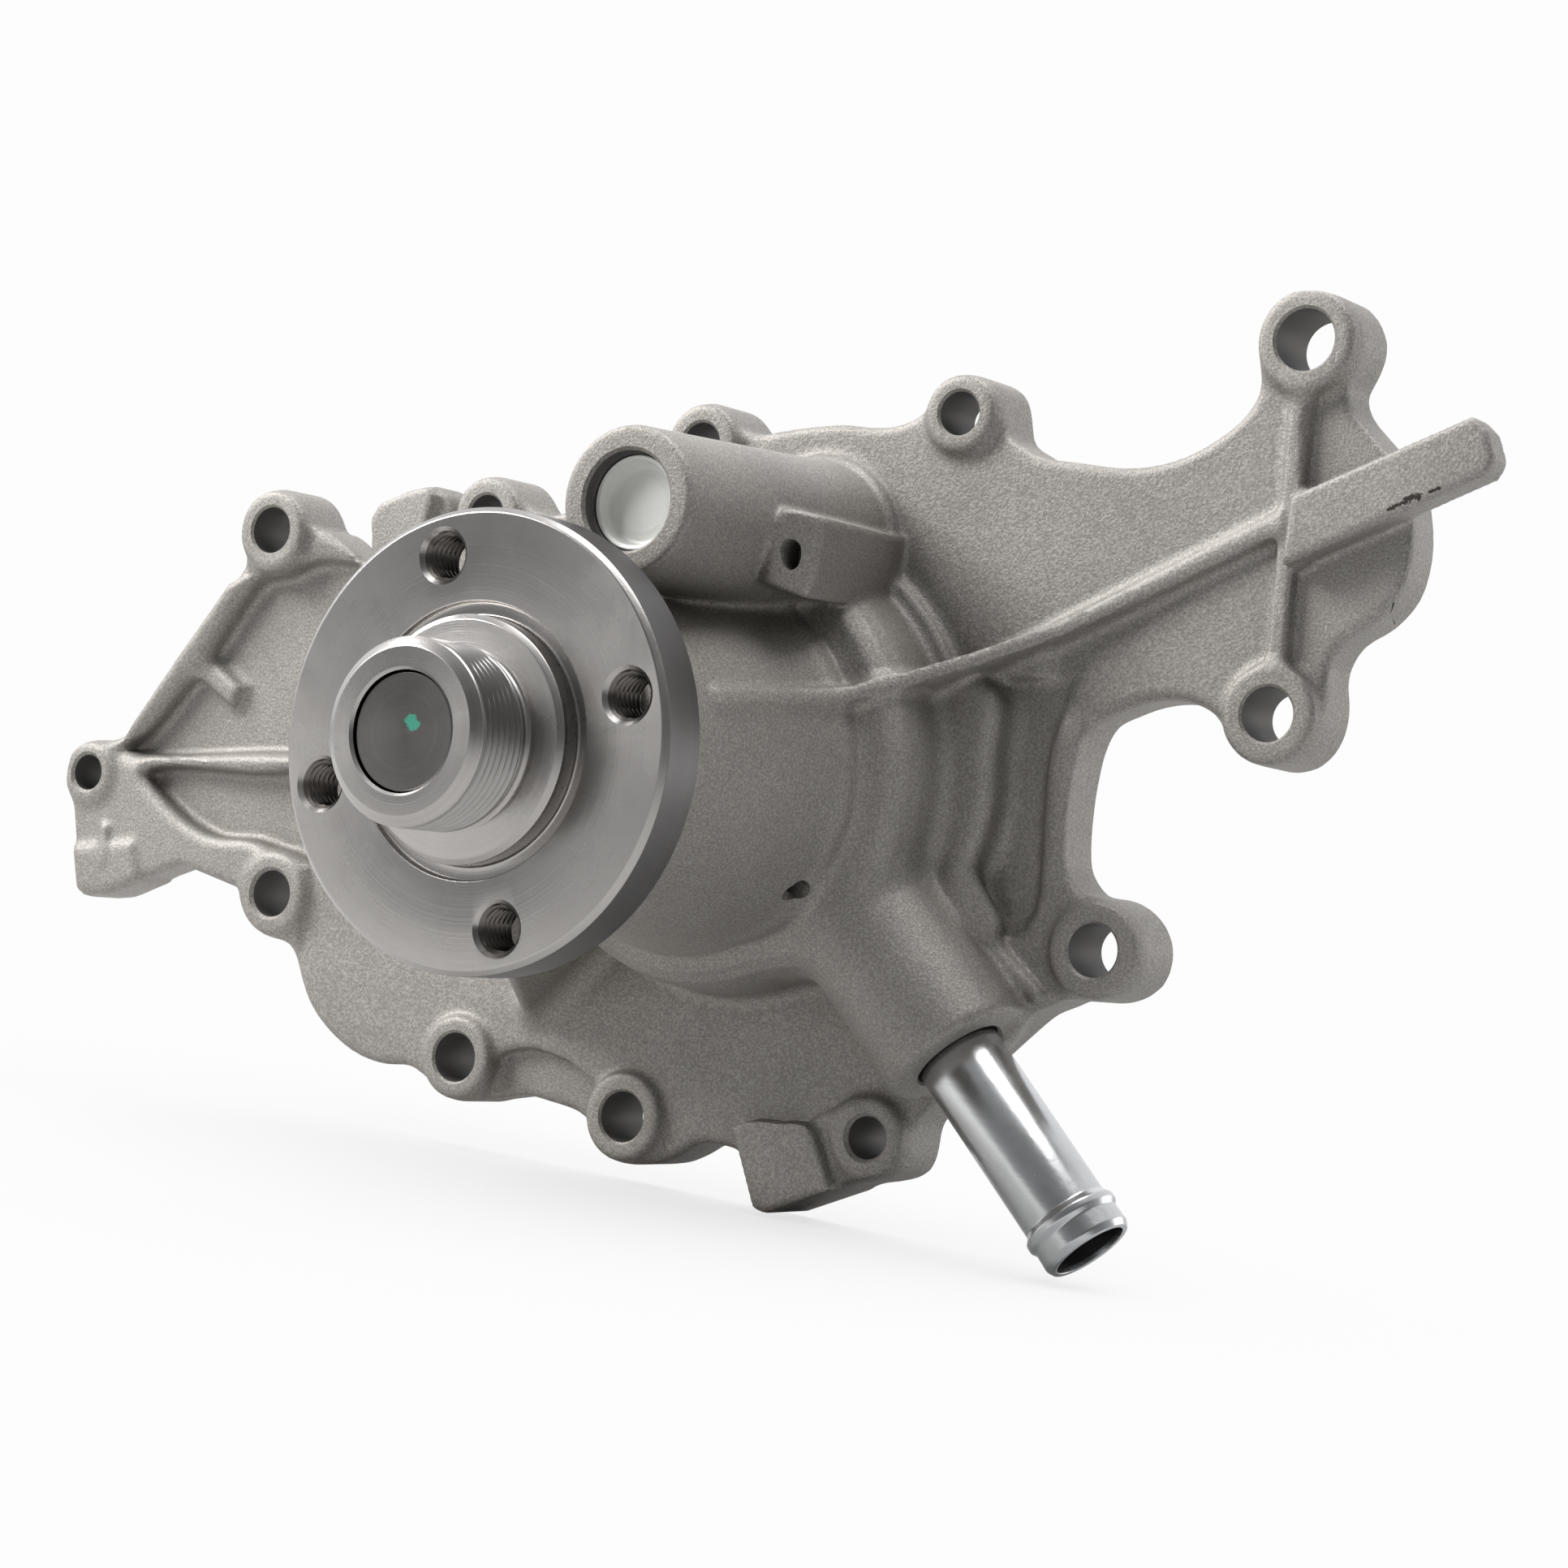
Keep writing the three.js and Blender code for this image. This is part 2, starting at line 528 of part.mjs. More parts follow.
// Rubber bellows that carries the carbon ring.
function sealBellows() {
  const { front } = SEAL;
  return turned([
    [9.4, front + 1.4], [13.4, front + 1.4], [13.4, front + 3], [11, front + 4.4],
    [13.2, front + 6], [13.2, -24.2], [9.4, -24.2], [9.4, -26.4], [10.2, front + 4.4],
    [9.4, front + 2.8],
  ], 24);
}

class Coil extends THREE.Curve {
  getPoint(t, target = vec(0, 0, 0)) {
    const angle = 2 * Math.PI * SPRING.turns * t;
    return target.set(
      SPRING.r * Math.cos(angle), SPRING.front + SPRING.length * t, SPRING.r * Math.sin(angle),
    );
  }
}

function sealSpring() {
  const wire = new THREE.Shape();
  wire.absarc(0, 0, SPRING.wireR, 0, 2 * Math.PI, false);
  return solid(new THREE.ExtrudeGeometry(wire, {
    steps: 36, curveSegments: 3, extrudePath: new Coil(), bevelEnabled: false,
  }));
}

const carbonFaceRing = () => turned([
  [9.6, -23.9], [14.2, -23.9], [14.2, -20.6], [12.6, -19.4], [10.2, -19.4], [9.6, -20.6],
], 28);

const seatRubberCup = () => turned([
  [TAIL_BORE, -15], [15, -15], [15, -19], [16.2, -19], [16.2, -13.2], [TAIL_BORE, -13.2],
], 28);

// ---------------------------------------------------------------- impeller
const VANES = {
  count: 7, steps: 6, innerR: 13, outerR: 34.2, sweep: -34, halfWidth: 1.1,
  front: -9.9, rear: -1.6,
};

function vane(startAngle) {
  const { steps, innerR, outerR, sweep, halfWidth, front, rear } = VANES;
  const middle = Array.from({ length: steps + 1 }, (_, i) =>
    polar(innerR + (outerR - innerR) * (i / steps), startAngle + sweep * (i / steps)));
  const side = (offset) => middle.map(([x, z], i) => {
    const before = middle[Math.max(0, i - 1)];
    const after = middle[Math.min(steps, i + 1)];
    const [dx, dz] = [after[0] - before[0], after[1] - before[1]];
    const length = Math.hypot(dx, dz);
    return [x - (offset * dz) / length, z + (offset * dx) / length];
  });
  return prism([...side(halfWidth), ...side(-halfWidth).reverse()], front, rear);
}

function impeller() {
  const disc = turned([
    [TAIL_BORE, -13], [15.5, -13], [15.5, -11.4], [34.5, -11.4], [34.5, -9.4], [14.4, -9.4],
    [13.2, -2.5], [TAIL_BORE, -2.5],
  ], 36);
  // the bore is cut last, to keep it clear of the vane roots
  return cut(
    join(disc, ...pitchAngles(VANES.count).map(vane)),
    rod(TAIL_BORE, -20, OVERCUT, 36),
  );
}

// ---------------------------------------------------------------- materials and assembly
const MATERIALS = {
  castAluminium: { color: 0xa8a49d, roughness: 0.62, metalness: 0.75 },
  plug: { color: 0xc6cbbf, roughness: 0.3, metalness: 0.9 },
  nipple: { color: 0xd2d5d6, roughness: 0.18, metalness: 1 },
  hub: { color: 0x8f8c88, roughness: 0.28, metalness: 1 },
  shaft: { color: 0x55524e, roughness: 0.35, metalness: 1 },
  outerRing: { color: 0x9a9996, roughness: 0.25, metalness: 1 },
  rolling: { color: 0xc9cacb, roughness: 0.12, metalness: 1 },
  cage: { color: 0xcbb98c, roughness: 0.6, metalness: 0 },
  bearingSeal: { color: 0x23221f, roughness: 0.8, metalness: 0 },
  sealCup: { color: 0xb08a4a, roughness: 0.35, metalness: 0.9 },
  rubber: { color: 0x1d1d1c, roughness: 0.85, metalness: 0 },
  spring: { color: 0xb9bab8, roughness: 0.3, metalness: 1 },
  carbon: { color: 0x2b2c2e, roughness: 0.5, metalness: 0.1 },
  ceramic: { color: 0xe6e2d6, roughness: 0.3, metalness: 0 },
  impeller: { color: 0x6e6b66, roughness: 0.55, metalness: 0.85 },
};

const group = new THREE.Group();

function add(name, body, material) {
  const mesh = new THREE.Mesh(geometryOf(body), new THREE.MeshStandardMaterial(material));
  mesh.name = name;
  group.add(mesh);
}

add("pump_housing", pumpHousing(), MATERIALS.castAluminium);
add("core_plug", corePlug(), MATERIALS.plug);
add("hose_nipple", hoseNipple(), MATERIALS.nipple);
add("hub_flange", hubFlange(), MATERIALS.hub);
add("pump_shaft", pumpShaft(), MATERIALS.shaft);
add("bearing_outer_ring", bearingOuterRing(), MATERIALS.outerRing);
pitchAngles(BALLS.count).forEach((angle, i) => {
  add(`bearing_ball_${i + 1}`, bearingBall(angle), MATERIALS.rolling);
});
pitchAngles(ROLLERS.count).forEach((angle, i) => {
  add(`bearing_roller_${i + 1}`, bearingRoller(angle), MATERIALS.rolling);
});
add("ball_cage", ballCage(), MATERIALS.cage);
add("roller_cage", rollerCage(), MATERIALS.cage);
add("front_bearing_seal", bearingSeal(BEARING.front + 0.5), MATERIALS.bearingSeal);
add("rear_bearing_seal", bearingSeal(BEARING.rear - 2.2), MATERIALS.bearingSeal);
add("seal_cup", sealCup(), MATERIALS.sealCup);
add("seal_bellows", sealBellows(), MATERIALS.rubber);
add("seal_spring", sealSpring(), MATERIALS.spring);
add("carbon_face_ring", carbonFaceRing(), MATERIALS.carbon);
add("ceramic_seat", ring(8.6, 14.6, -19.2, -15.2, 28), MATERIALS.ceramic);
add("seat_rubber_cup", seatRubberCup(), MATERIALS.rubber);
add("impeller", impeller(), MATERIALS.impeller);

export default group;
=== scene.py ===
# Engine coolant pump, visual model. Part sizes are millimetres and become metres when a mesh is
# made; camera, floor and lights are in metres. The origin is on the shaft axis in the gasket
# plane. The hub faces -Y, +X is right as seen from the hub side and +Z is up.
import math
from itertools import product

import bmesh
import bpy
import numpy as np
from mathutils import Matrix, Vector
from mathutils.geometry import tessellate_polygon


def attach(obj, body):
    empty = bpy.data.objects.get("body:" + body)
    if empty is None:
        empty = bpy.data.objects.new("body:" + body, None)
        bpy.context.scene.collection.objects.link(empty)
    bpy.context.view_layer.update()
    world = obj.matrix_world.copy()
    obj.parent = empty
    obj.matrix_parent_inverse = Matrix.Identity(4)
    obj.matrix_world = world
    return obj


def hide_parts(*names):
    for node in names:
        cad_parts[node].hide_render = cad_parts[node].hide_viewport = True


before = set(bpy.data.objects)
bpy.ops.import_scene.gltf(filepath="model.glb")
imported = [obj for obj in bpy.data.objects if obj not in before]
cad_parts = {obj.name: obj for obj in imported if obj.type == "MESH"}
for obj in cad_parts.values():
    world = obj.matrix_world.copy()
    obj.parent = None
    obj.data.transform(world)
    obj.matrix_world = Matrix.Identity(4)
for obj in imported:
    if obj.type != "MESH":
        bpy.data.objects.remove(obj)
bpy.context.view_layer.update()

GRID_STEP = 0.7          # distance grid of the cast body
HOUSING_FACES = 185000
HUB_SEGMENTS = 256
THREAD_ROWS = 96
IMPELLER_STEP = 0.42

# ---------------------------------------------------------------- driving dimensions
# Levels of the casting, along Y
BOSS_Y, PLATE_Y, WEB_Y, WING_Y = -13.0, -11.0, -7.0, -9.6
POCKET_Y = PLATE_Y - 6                     # where cuts into the plate's front start
LAND_DEPTH = 4.5
SNOUT_Y = -79.5
CHAMBER_R, CHAMBER_Y = 35.4, -22.0
FIT = 0.12                                 # gap between fitted parts
SEAL_BORE, SEAL_Y = 18.4, -33.0
# Bearing
RACE_R, RACE_FRONT_Y, RACE_BACK_Y, RACE_BORE = 19.05, -79.8, -40.8, 16.6
BALLS, BALL_R, BALL_PITCH_R, BALL_Y = 8, 4.2, 13.0, -48.5
GROOVE_GAP = 0.12
ROLLERS, ROLLER_R, ROLLER_PITCH_R = 10, 3.3, 13.05
ROLLER_FRONT_Y, ROLLER_BACK_Y = -73.0, -61.0
# Shaft and hub
SHAFT_R, SHAFT_FRONT_Y, SHAFT_BACK_Y = 9.525, -112.2, 0.0
SHAFT_STEP_Y, TAIL_R = -37.0, 8.0
HUB_FACE_Y, HUB_BACK_Y, HUB_R, PILOT_R = -95.0, -85.0, 37.5, 20.0
NOSE_R, NOSE_Y, NOSE_BORE, NOSE_PITCH = 15.0, -113.0, 9.65, 1.5
THREAD_FRONT_Y, THREAD_BACK_Y = NOSE_Y + 1.5, -101.4
STUD_CIRCLE, STUD_START, STUD_MOUTH_R, STUD_PITCH = 61.2, 19.7, 4.75, 1.25
# Plugged passage tube, parallel to the shaft
TUBE_X, TUBE_Z, TUBE_Y = 8.2, 42.3, -73.0
TUBE_R, TUBE_FOOT_R, TUBE_BORE = 12.5, 14.9, 8.0
# Hose nipple, at an angle in the X-Z plane
NIPPLE_R, NIPPLE_WALL, NIPPLE_BOSS_R, NIPPLE_DEPTH = 7.5, 1.1, 13.0, 14.0
NIPPLE_ANGLE = -43.5
NIPPLE_AT = np.array([56.2, -18.0, -43.8])
RIB_ANGLE, RIB_WIDTH = 30.0, 2.6

# Bolt bosses: x, z, boss radius, hole radius, narrowing of the hole, fillet to the plate
BOSSES = [
    (96.2, 84.2, 8.6, 5.2, 0.15, 2.4), (98.7, 22.3, 8.4, 4.6, 0.15, 2.4),
    (73.1, -20.4, 8.2, 4.6, 0.15, 2.4), (33.4, 67.9, 6.8, 3.85, 0.15, 2.4),
    (-19.0, 59.0, 7.2, 3.85, 0.15, 2.4), (-64.8, 42.3, 7.2, 3.85, 0.15, 2.4),
    (-115.9, 35.3, 7.8, 4.5, 0.15, 2.4), (-154.4, -16.8, 6.1, 3.55, 0.15, 2.4),
    (-103.4, -34.5, 7.8, 4.5, 0.15, 2.4), (-54.7, -58.7, 7.7, 4.6, 0.95, 1.7),
    (-15.9, -63.4, 8.1, 4.6, 0.95, 1.7), (35.0, -58.6, 7.0, 3.75, 0.95, 2.4),
]

# Outlines on the plate: x, z. The first two and those marked smooth are curved through the points.
OUTLINE = [
    (-108, 37), (-104.5, 36.5), (-99.5, 34), (-95, 31.8), (-90.8, 31.9), (-90.5, 41),
    (-84.2, 45), (-79, 46.4), (-76.2, 45), (-74, 41), (-71.5, 41.5), (-64.8, 49), (-58, 45),
    (-52, 43.5), (-42, 48), (-33, 54), (-25.5, 61), (-19, 66), (-12.4, 62.2), (-8.4, 61.8),
    (-3.4, 62.8), (2.4, 63.9), (9.1, 64.7), (15, 64.6), (20, 65.3), (25, 68), (29, 73.4),
    (38, 73), (40.6, 68), (42.6, 64.6), (45.8, 63), (48.8, 61.8), (56.8, 61.3), (64.6, 61),
    (70.6, 61.8), (76.4, 63.8), (81.9, 67.2), (85.8, 70.8), (88.1, 75.1), (88.2, 82),
    (96.2, 92), (104.4, 86), (103.6, 79.8), (103.2, 77.1), (104.6, 73.7), (109.3, 69.3),
    (115, 64), (117.4, 57.8), (118.4, 51.1), (117.3, 44.3), (113.7, 39.3), (108.8, 35.6),
    (106.8, 31.1), (107, 24), (103, 16), (92, 17), (87, 21.4), (83, 22.8), (78.8, 22.9),
    (74, 21.8), (69.6, 19.8), (66, 17.6), (64.2, 13.6), (63.5, 8), (63.4, 2.8), (63.9, -4),
    (65, -8), (68.6, -11.4), (74, -12.6), (80.8, -18), (80.4, -24.6), (72, -28.4),
    (67.9, -29.5), (65.8, -30.7), (62.1, -32.7), (58.7, -36), (49.1, -46.8), (43.7, -53.4),
    (41.6, -57.4), (41, -63), (34.9, -65.6), (26.4, -69.6), (20, -70), (10.4, -69),
    (8.2, -65.8), (3.3, -65.2), (-0.4, -65.8), (-4.2, -68.4), (-9, -70.8), (-16, -71.4),
    (-22, -69.8), (-25.4, -66.6), (-28.9, -64.7), (-35.4, -63.9), (-41, -63.6), (-46.6, -65),
    (-54.6, -66.4), (-61.8, -64), (-66.9, -62.2), (-72.6, -62.8), (-77.6, -62.4),
    (-82.8, -60.8), (-88.4, -57.6), (-92.4, -54), (-95.2, -49.7), (-97.1, -46.1),
    (-100.1, -43), (-105, -41.8), (-110.6, -37.4), (-113.4, -33.6), (-118.5, -32.3),
    (-122.8, -31.7), (-128.2, -30.8), (-132, -32), (-140, -36), (-146.6, -39.4),
    (-151.7, -40.6), (-153.8, -39), (-155.5, -33.2), (-156.4, -30), (-158, -25),
    (-160.2, -19), (-158, -12), (-154.7, -10.8), (-148.5, -8.5), (-135.8, 9.9),
    (-123.2, 27.8), (-123, 36), (-116, 42.9),
]
RECESS = [
    (-112, 20), (-96, 22), (-84, 30), (-72, 31), (-58, 34), (-46, 40), (-34, 47), (-12, 50),
    (4, 56), (22, 57), (44, 54), (62, 53), (78, 56), (88, 62), (93, 70), (98, 68), (104, 64),
    (109, 56), (109, 48), (104, 41), (98, 36), (86, 32), (72, 28), (61, 22), (59, 4), (59, -6),
    (61, -18), (56, -27), (46, -38), (30, -49), (8, -55), (-4, -52), (-28, -53), (-40, -50),
    (-56, -46), (-76, -50), (-88, -44), (-92, -30), (-104, -23), (-124, -22), (-142, -15),
    (-140, -9), (-130, 3), (-120, 15),
]
LEFT_WING = [
    (-126, 24), (-108, 32), (-97, 32), (-96, -44), (-104, -42), (-113.4, -34.6), (-128, -32),
    (-145, -39.4), (-153, -39.6), (-156.4, -30), (-159.4, -19), (-156, -13), (-148, -9.3),
]
UPPER_POCKET = [  # smooth
    (-147, -11.2), (-112, -7.6), (-104, -7), (-94, -6), (-92, 10), (-91, 24), (-95, 29.4),
    (-101, 30.4), (-107, 29.6), (-112, 27.4), (-119, 25), (-130, 9), (-142, -6.6),
]
LOWER_POCKET = [  # smooth
    (-141, -15.2), (-112, -12), (-94, -10.4), (-90, -20), (-96, -27), (-112, -25),
    (-122, -25.4), (-132, -22),
]
CROSS_RIB = [(-136, 7.3), (-133.2, 10.8), (-121.2, 4), (-123, 0.4)]
RIGHT_WING = [(98.4, 100), (140, 100), (140, -6), (101, -6), (101, 14), (98.8, 46)]
NOTCH_STRIP = [
    (57, 22), (57, 30.2), (97, 52.8), (98.4, 52.8), (99, 8), (72, 8), (65, 15.5), (61, 18.5),
]
NOTCH_EDGE = [
    (40, 22), (60.6, 24.2), (60, 18.4), (58.9, 13.4), (58.6, 8.5), (59.1, 1.6), (59.8, -5.3),
    (60.4, -12.2), (60, -16), (58.4, -18.8), (56, -20.4), (52.2, -21.4), (40, -22),
]
LOWER_STEP = [
    (-48, -57.6), (-42.8, -55.3), (-38.3, -54.5), (-30.7, -55.7), (-24.4, -58.7), (-22, -72),
    (-50, -72),
]
TOP_PAD = [
    (-92, 39.5), (-90.5, 42.5), (-84.2, 45.4), (-79, 46.8), (-77.6, 45), (-79, 32),
    (-90.4, 31.4),
]
BOTTOM_PAD = [
    (8.2, -61.1), (11.4, -59.4), (23, -58.1), (24.9, -59.3), (30.2, -68.4), (29, -69.3),
    (17.4, -75), (14.8, -74.5),
]
BOTTOM_TAB = [(23, -57.6), (31, -52.8), (36, -58), (34.8, -65.6), (29.6, -68.2)]
LEFT_PAD = [
    (-155.4, -32.4), (-153.3, -39.8), (-151.7, -41), (-146.6, -40.3), (-138.1, -36.1),
    (-140.5, -29.6),
]
LEFT_RIDGE = [(-149, -26.6), (-147.4, -26.9), (-146.2, -34.4), (-147.9, -34.8)]
UPRIGHT_RIB = [
    (94.4, 78), (98, 78), (97.4, 71), (98.8, 60), (101, 59.6), (101.4, 47.6), (99.2, 46.4),
    (100, 30), (96.6, 30), (96, 46.4), (95.6, 57),
]
BAR = [
    (98.6, 58.1), (100.8, 59.2), (128, 73.2), (130.8, 70.9), (132.6, 66.6), (131.6, 64),
    (101.3, 47.9), (98.6, 46.5),
]
SHOULDER = [  # smooth
    (20, 8), (38, 20.5), (46, 22.5), (50.2, 19), (50.8, 10), (51.6, 1.5), (50.6, -6),
    (48.8, -11.6), (50.4, -16), (50.6, -20.6), (47, -25), (40, -34), (28, -36), (20, -26),
]
LUG_SLOT = [  # smooth
    (23.5, 39.3), (24.1, 40.4), (25, 40.6), (25.9, 40), (26.3, 38.2), (25.9, 36.2),
    (25.1, 35.5), (24.2, 36), (23.6, 37.5),
]
# Corners of the lug beside the tube: x, y, z
LUG = [
    (22.7, -50, 42.4), (21.7, -49.4, 36.2), (21.2, -48.4, 32.8), (24.2, -48, 46),
    (28.6, -44.2, 45), (28.9, -44.2, 36.4), (27.4, -44.8, 30.9), (13, -45, 45), (13, -45, 34),
    (12, -11, 45.6), (12, -11, 33.5), (25.4, -11, 45.8), (24.4, -11, 32.6),
]
# Half sections: radius, y
SNOUT_PROFILE = [
    (0, SNOUT_Y), (24.4, SNOUT_Y), (24.9, SNOUT_Y + 0.8), (26.2, -66), (29, -52), (31.8, -40),
    (32.9, -35.8), (33.9, -33.6), (34.3, -31), (36, -30.2), (39, -29.4), (41.2, -27.2),
    (42.2, -23.6), (42.9, -14.6), (42.9, 0), (0, 0),
]
RIB_PROFILE = [
    (110.5, -12.2), (98, -12), (82, -12.6), (67, -13.9), (54, -19.6), (42, -28),
    (34.7, -35.4), (31.7, -43), (30, -49.5), (28.35, -57), (27.2, -62), (20, -62), (20, -4),
    (110.5, -4),
]
GUSSET_PROFILE = [(24, -60), (46, -40), (63, -12.5), (63, -4), (20, -4), (20, -60)]


def rad(degrees):
    return degrees * math.pi / 180


def around(radius, degrees):
    """Point (x, z) on a circle about the shaft axis."""
    return radius * math.cos(rad(degrees)), radius * math.sin(rad(degrees))


NIPPLE_DIR = np.array([math.cos(rad(NIPPLE_ANGLE)), 0.0, math.sin(rad(NIPPLE_ANGLE))])
STUDS = [around(STUD_CIRCLE / 2, STUD_START + 90 * i) for i in range(4)]


# ---------------------------------------------------------------- distance fields
def smooth_loop(points, count):
    """Closed centripetal Catmull-Rom curve through the points, about count points long."""
    def blend(a, b, start, end, t):
        return (end - t) / (end - start) * a + (t - start) / (end - start) * b

    points = np.array(points, float)
    total = len(points)
    each = max(2, int(round(count / total)))
    curve = []
    for i in range(total):
        p = [points[(i + k - 1) % total] for k in range(4)]
        knots = [0.0]
        for k in range(3):
            knots.append(knots[-1] + max(1e-6, np.linalg.norm(p[k + 1] - p[k])) ** 0.5)
        for t in np.linspace(knots[1], knots[2], each, endpoint=False):
            a = [blend(p[k], p[k + 1], knots[k], knots[k + 1], t) for k in range(3)]
            b = [blend(a[k], a[k + 1], knots[k], knots[k + 2], t) for k in range(2)]
            curve.append(blend(b[0], b[1], knots[1], knots[2], t))
    return np.array(curve)


def polygon_distance(polygon, x, y):
    """Signed distance to a closed polygon at the points (x, y), negative inside."""
    corners = np.asarray(polygon, np.float32)
    nearest = np.full(x.shape, 1e12, np.float32)
    inside = np.zeros(x.shape, bool)
    for (ax, ay), (bx, by) in zip(corners, np.roll(corners, -1, axis=0)):
        ex, ey = bx - ax, by - ay
        length2 = ex * ex + ey * ey
        if length2 < 1e-12:
            continue
        wx, wy = x - ax, y - ay
        t = np.clip((wx * ex + wy * ey) / length2, 0, 1)
        dx, dy = wx - t * ex, wy - t * ey
        np.minimum(nearest, dx * dx + dy * dy, out=nearest)
        rise = by - ay if by != ay else 1e-9
        inside ^= ((ay > y) != (by > y)) & (x < (bx - ax) * (y - ay) / rise + ax)
    distance = np.sqrt(nearest)
    return np.where(inside, -distance, distance).astype(np.float32)


def smooth_min(a, b, fillet):
    if fillet <= 0:
        return np.minimum(a, b)
    h = np.maximum(fillet - np.abs(a - b), 0) / fillet
    return np.minimum(a, b) - h * h * (fillet * 0.25)


def smooth_max(a, b, fillet):
    return -smooth_min(-a, -b, fillet)


def ease(t):
    return np.clip(t, 0, 1) ** 2 * (3 - 2 * np.clip(t, 0, 1))


def round_edges(across, along, edge):
    """Distance to an extrusion from its two parts, with the edges rounded."""
    a, b = across + edge, along + edge
    outside = np.sqrt(np.maximum(a, 0) ** 2 + np.maximum(b, 0) ** 2)
    return np.minimum(np.maximum(a, b), 0) + outside - edge


def mirrored(profile):
    """Profile joined to its mirror image, so that the axis is no edge."""
    return np.concatenate([profile, (profile * [-1, 1])[::-1]])


def read_rows(table, position):
    """Table rows at fractional positions given over (x, z), laid out as (x, y, z)."""
    position = np.clip(position, 0, len(table) - 2.001)
    i = position.astype(np.int32)
    part = (position - i).astype(np.float32)[..., None]
    return np.transpose(table[i] * (1 - part) + table[i + 1] * part, (0, 2, 1))


def round_profile(table, radii, ys, edge):
    """Profile distance table with its convex corners rounded: shrink, measure, grow again."""
    shrunk = table + edge
    spacing_r = float(radii[1, 0] - radii[0, 0])
    spacing_y = float(ys[0, 1] - ys[0, 0])
    # where the shrunken outline crosses the table, along both directions
    crossings = []
    for low, high, step_r, step_y in ((np.s_[:-1], np.s_[1:], spacing_r, 0),
                                      (np.s_[:, :-1], np.s_[:, 1:], 0, spacing_y)):
        a, b = shrunk[low], shrunk[high]
        crossed = (a <= 0) != (b <= 0)
        t = a[crossed] / (a[crossed] - b[crossed])
        crossings.append(np.stack([radii[low][crossed] + t * step_r,
                                   ys[low][crossed] + t * step_y], 1))
    crossings = np.concatenate(crossings)
    # only a narrow band outside matters, measured in batches
    band = (shrunk > 0) & (table < 6)
    points = np.stack([radii[band], ys[band]], 1)
    nearest = np.empty(len(points), np.float32)
    for i in range(0, len(points), 4000):
        squares = ((points[i:i + 4000, None, :] - crossings[None]) ** 2).sum(2)
        nearest[i:i + 4000] = np.sqrt(squares.min(1))
    result = table.copy()
    result[band] = nearest - edge
    return result.astype(np.float32)


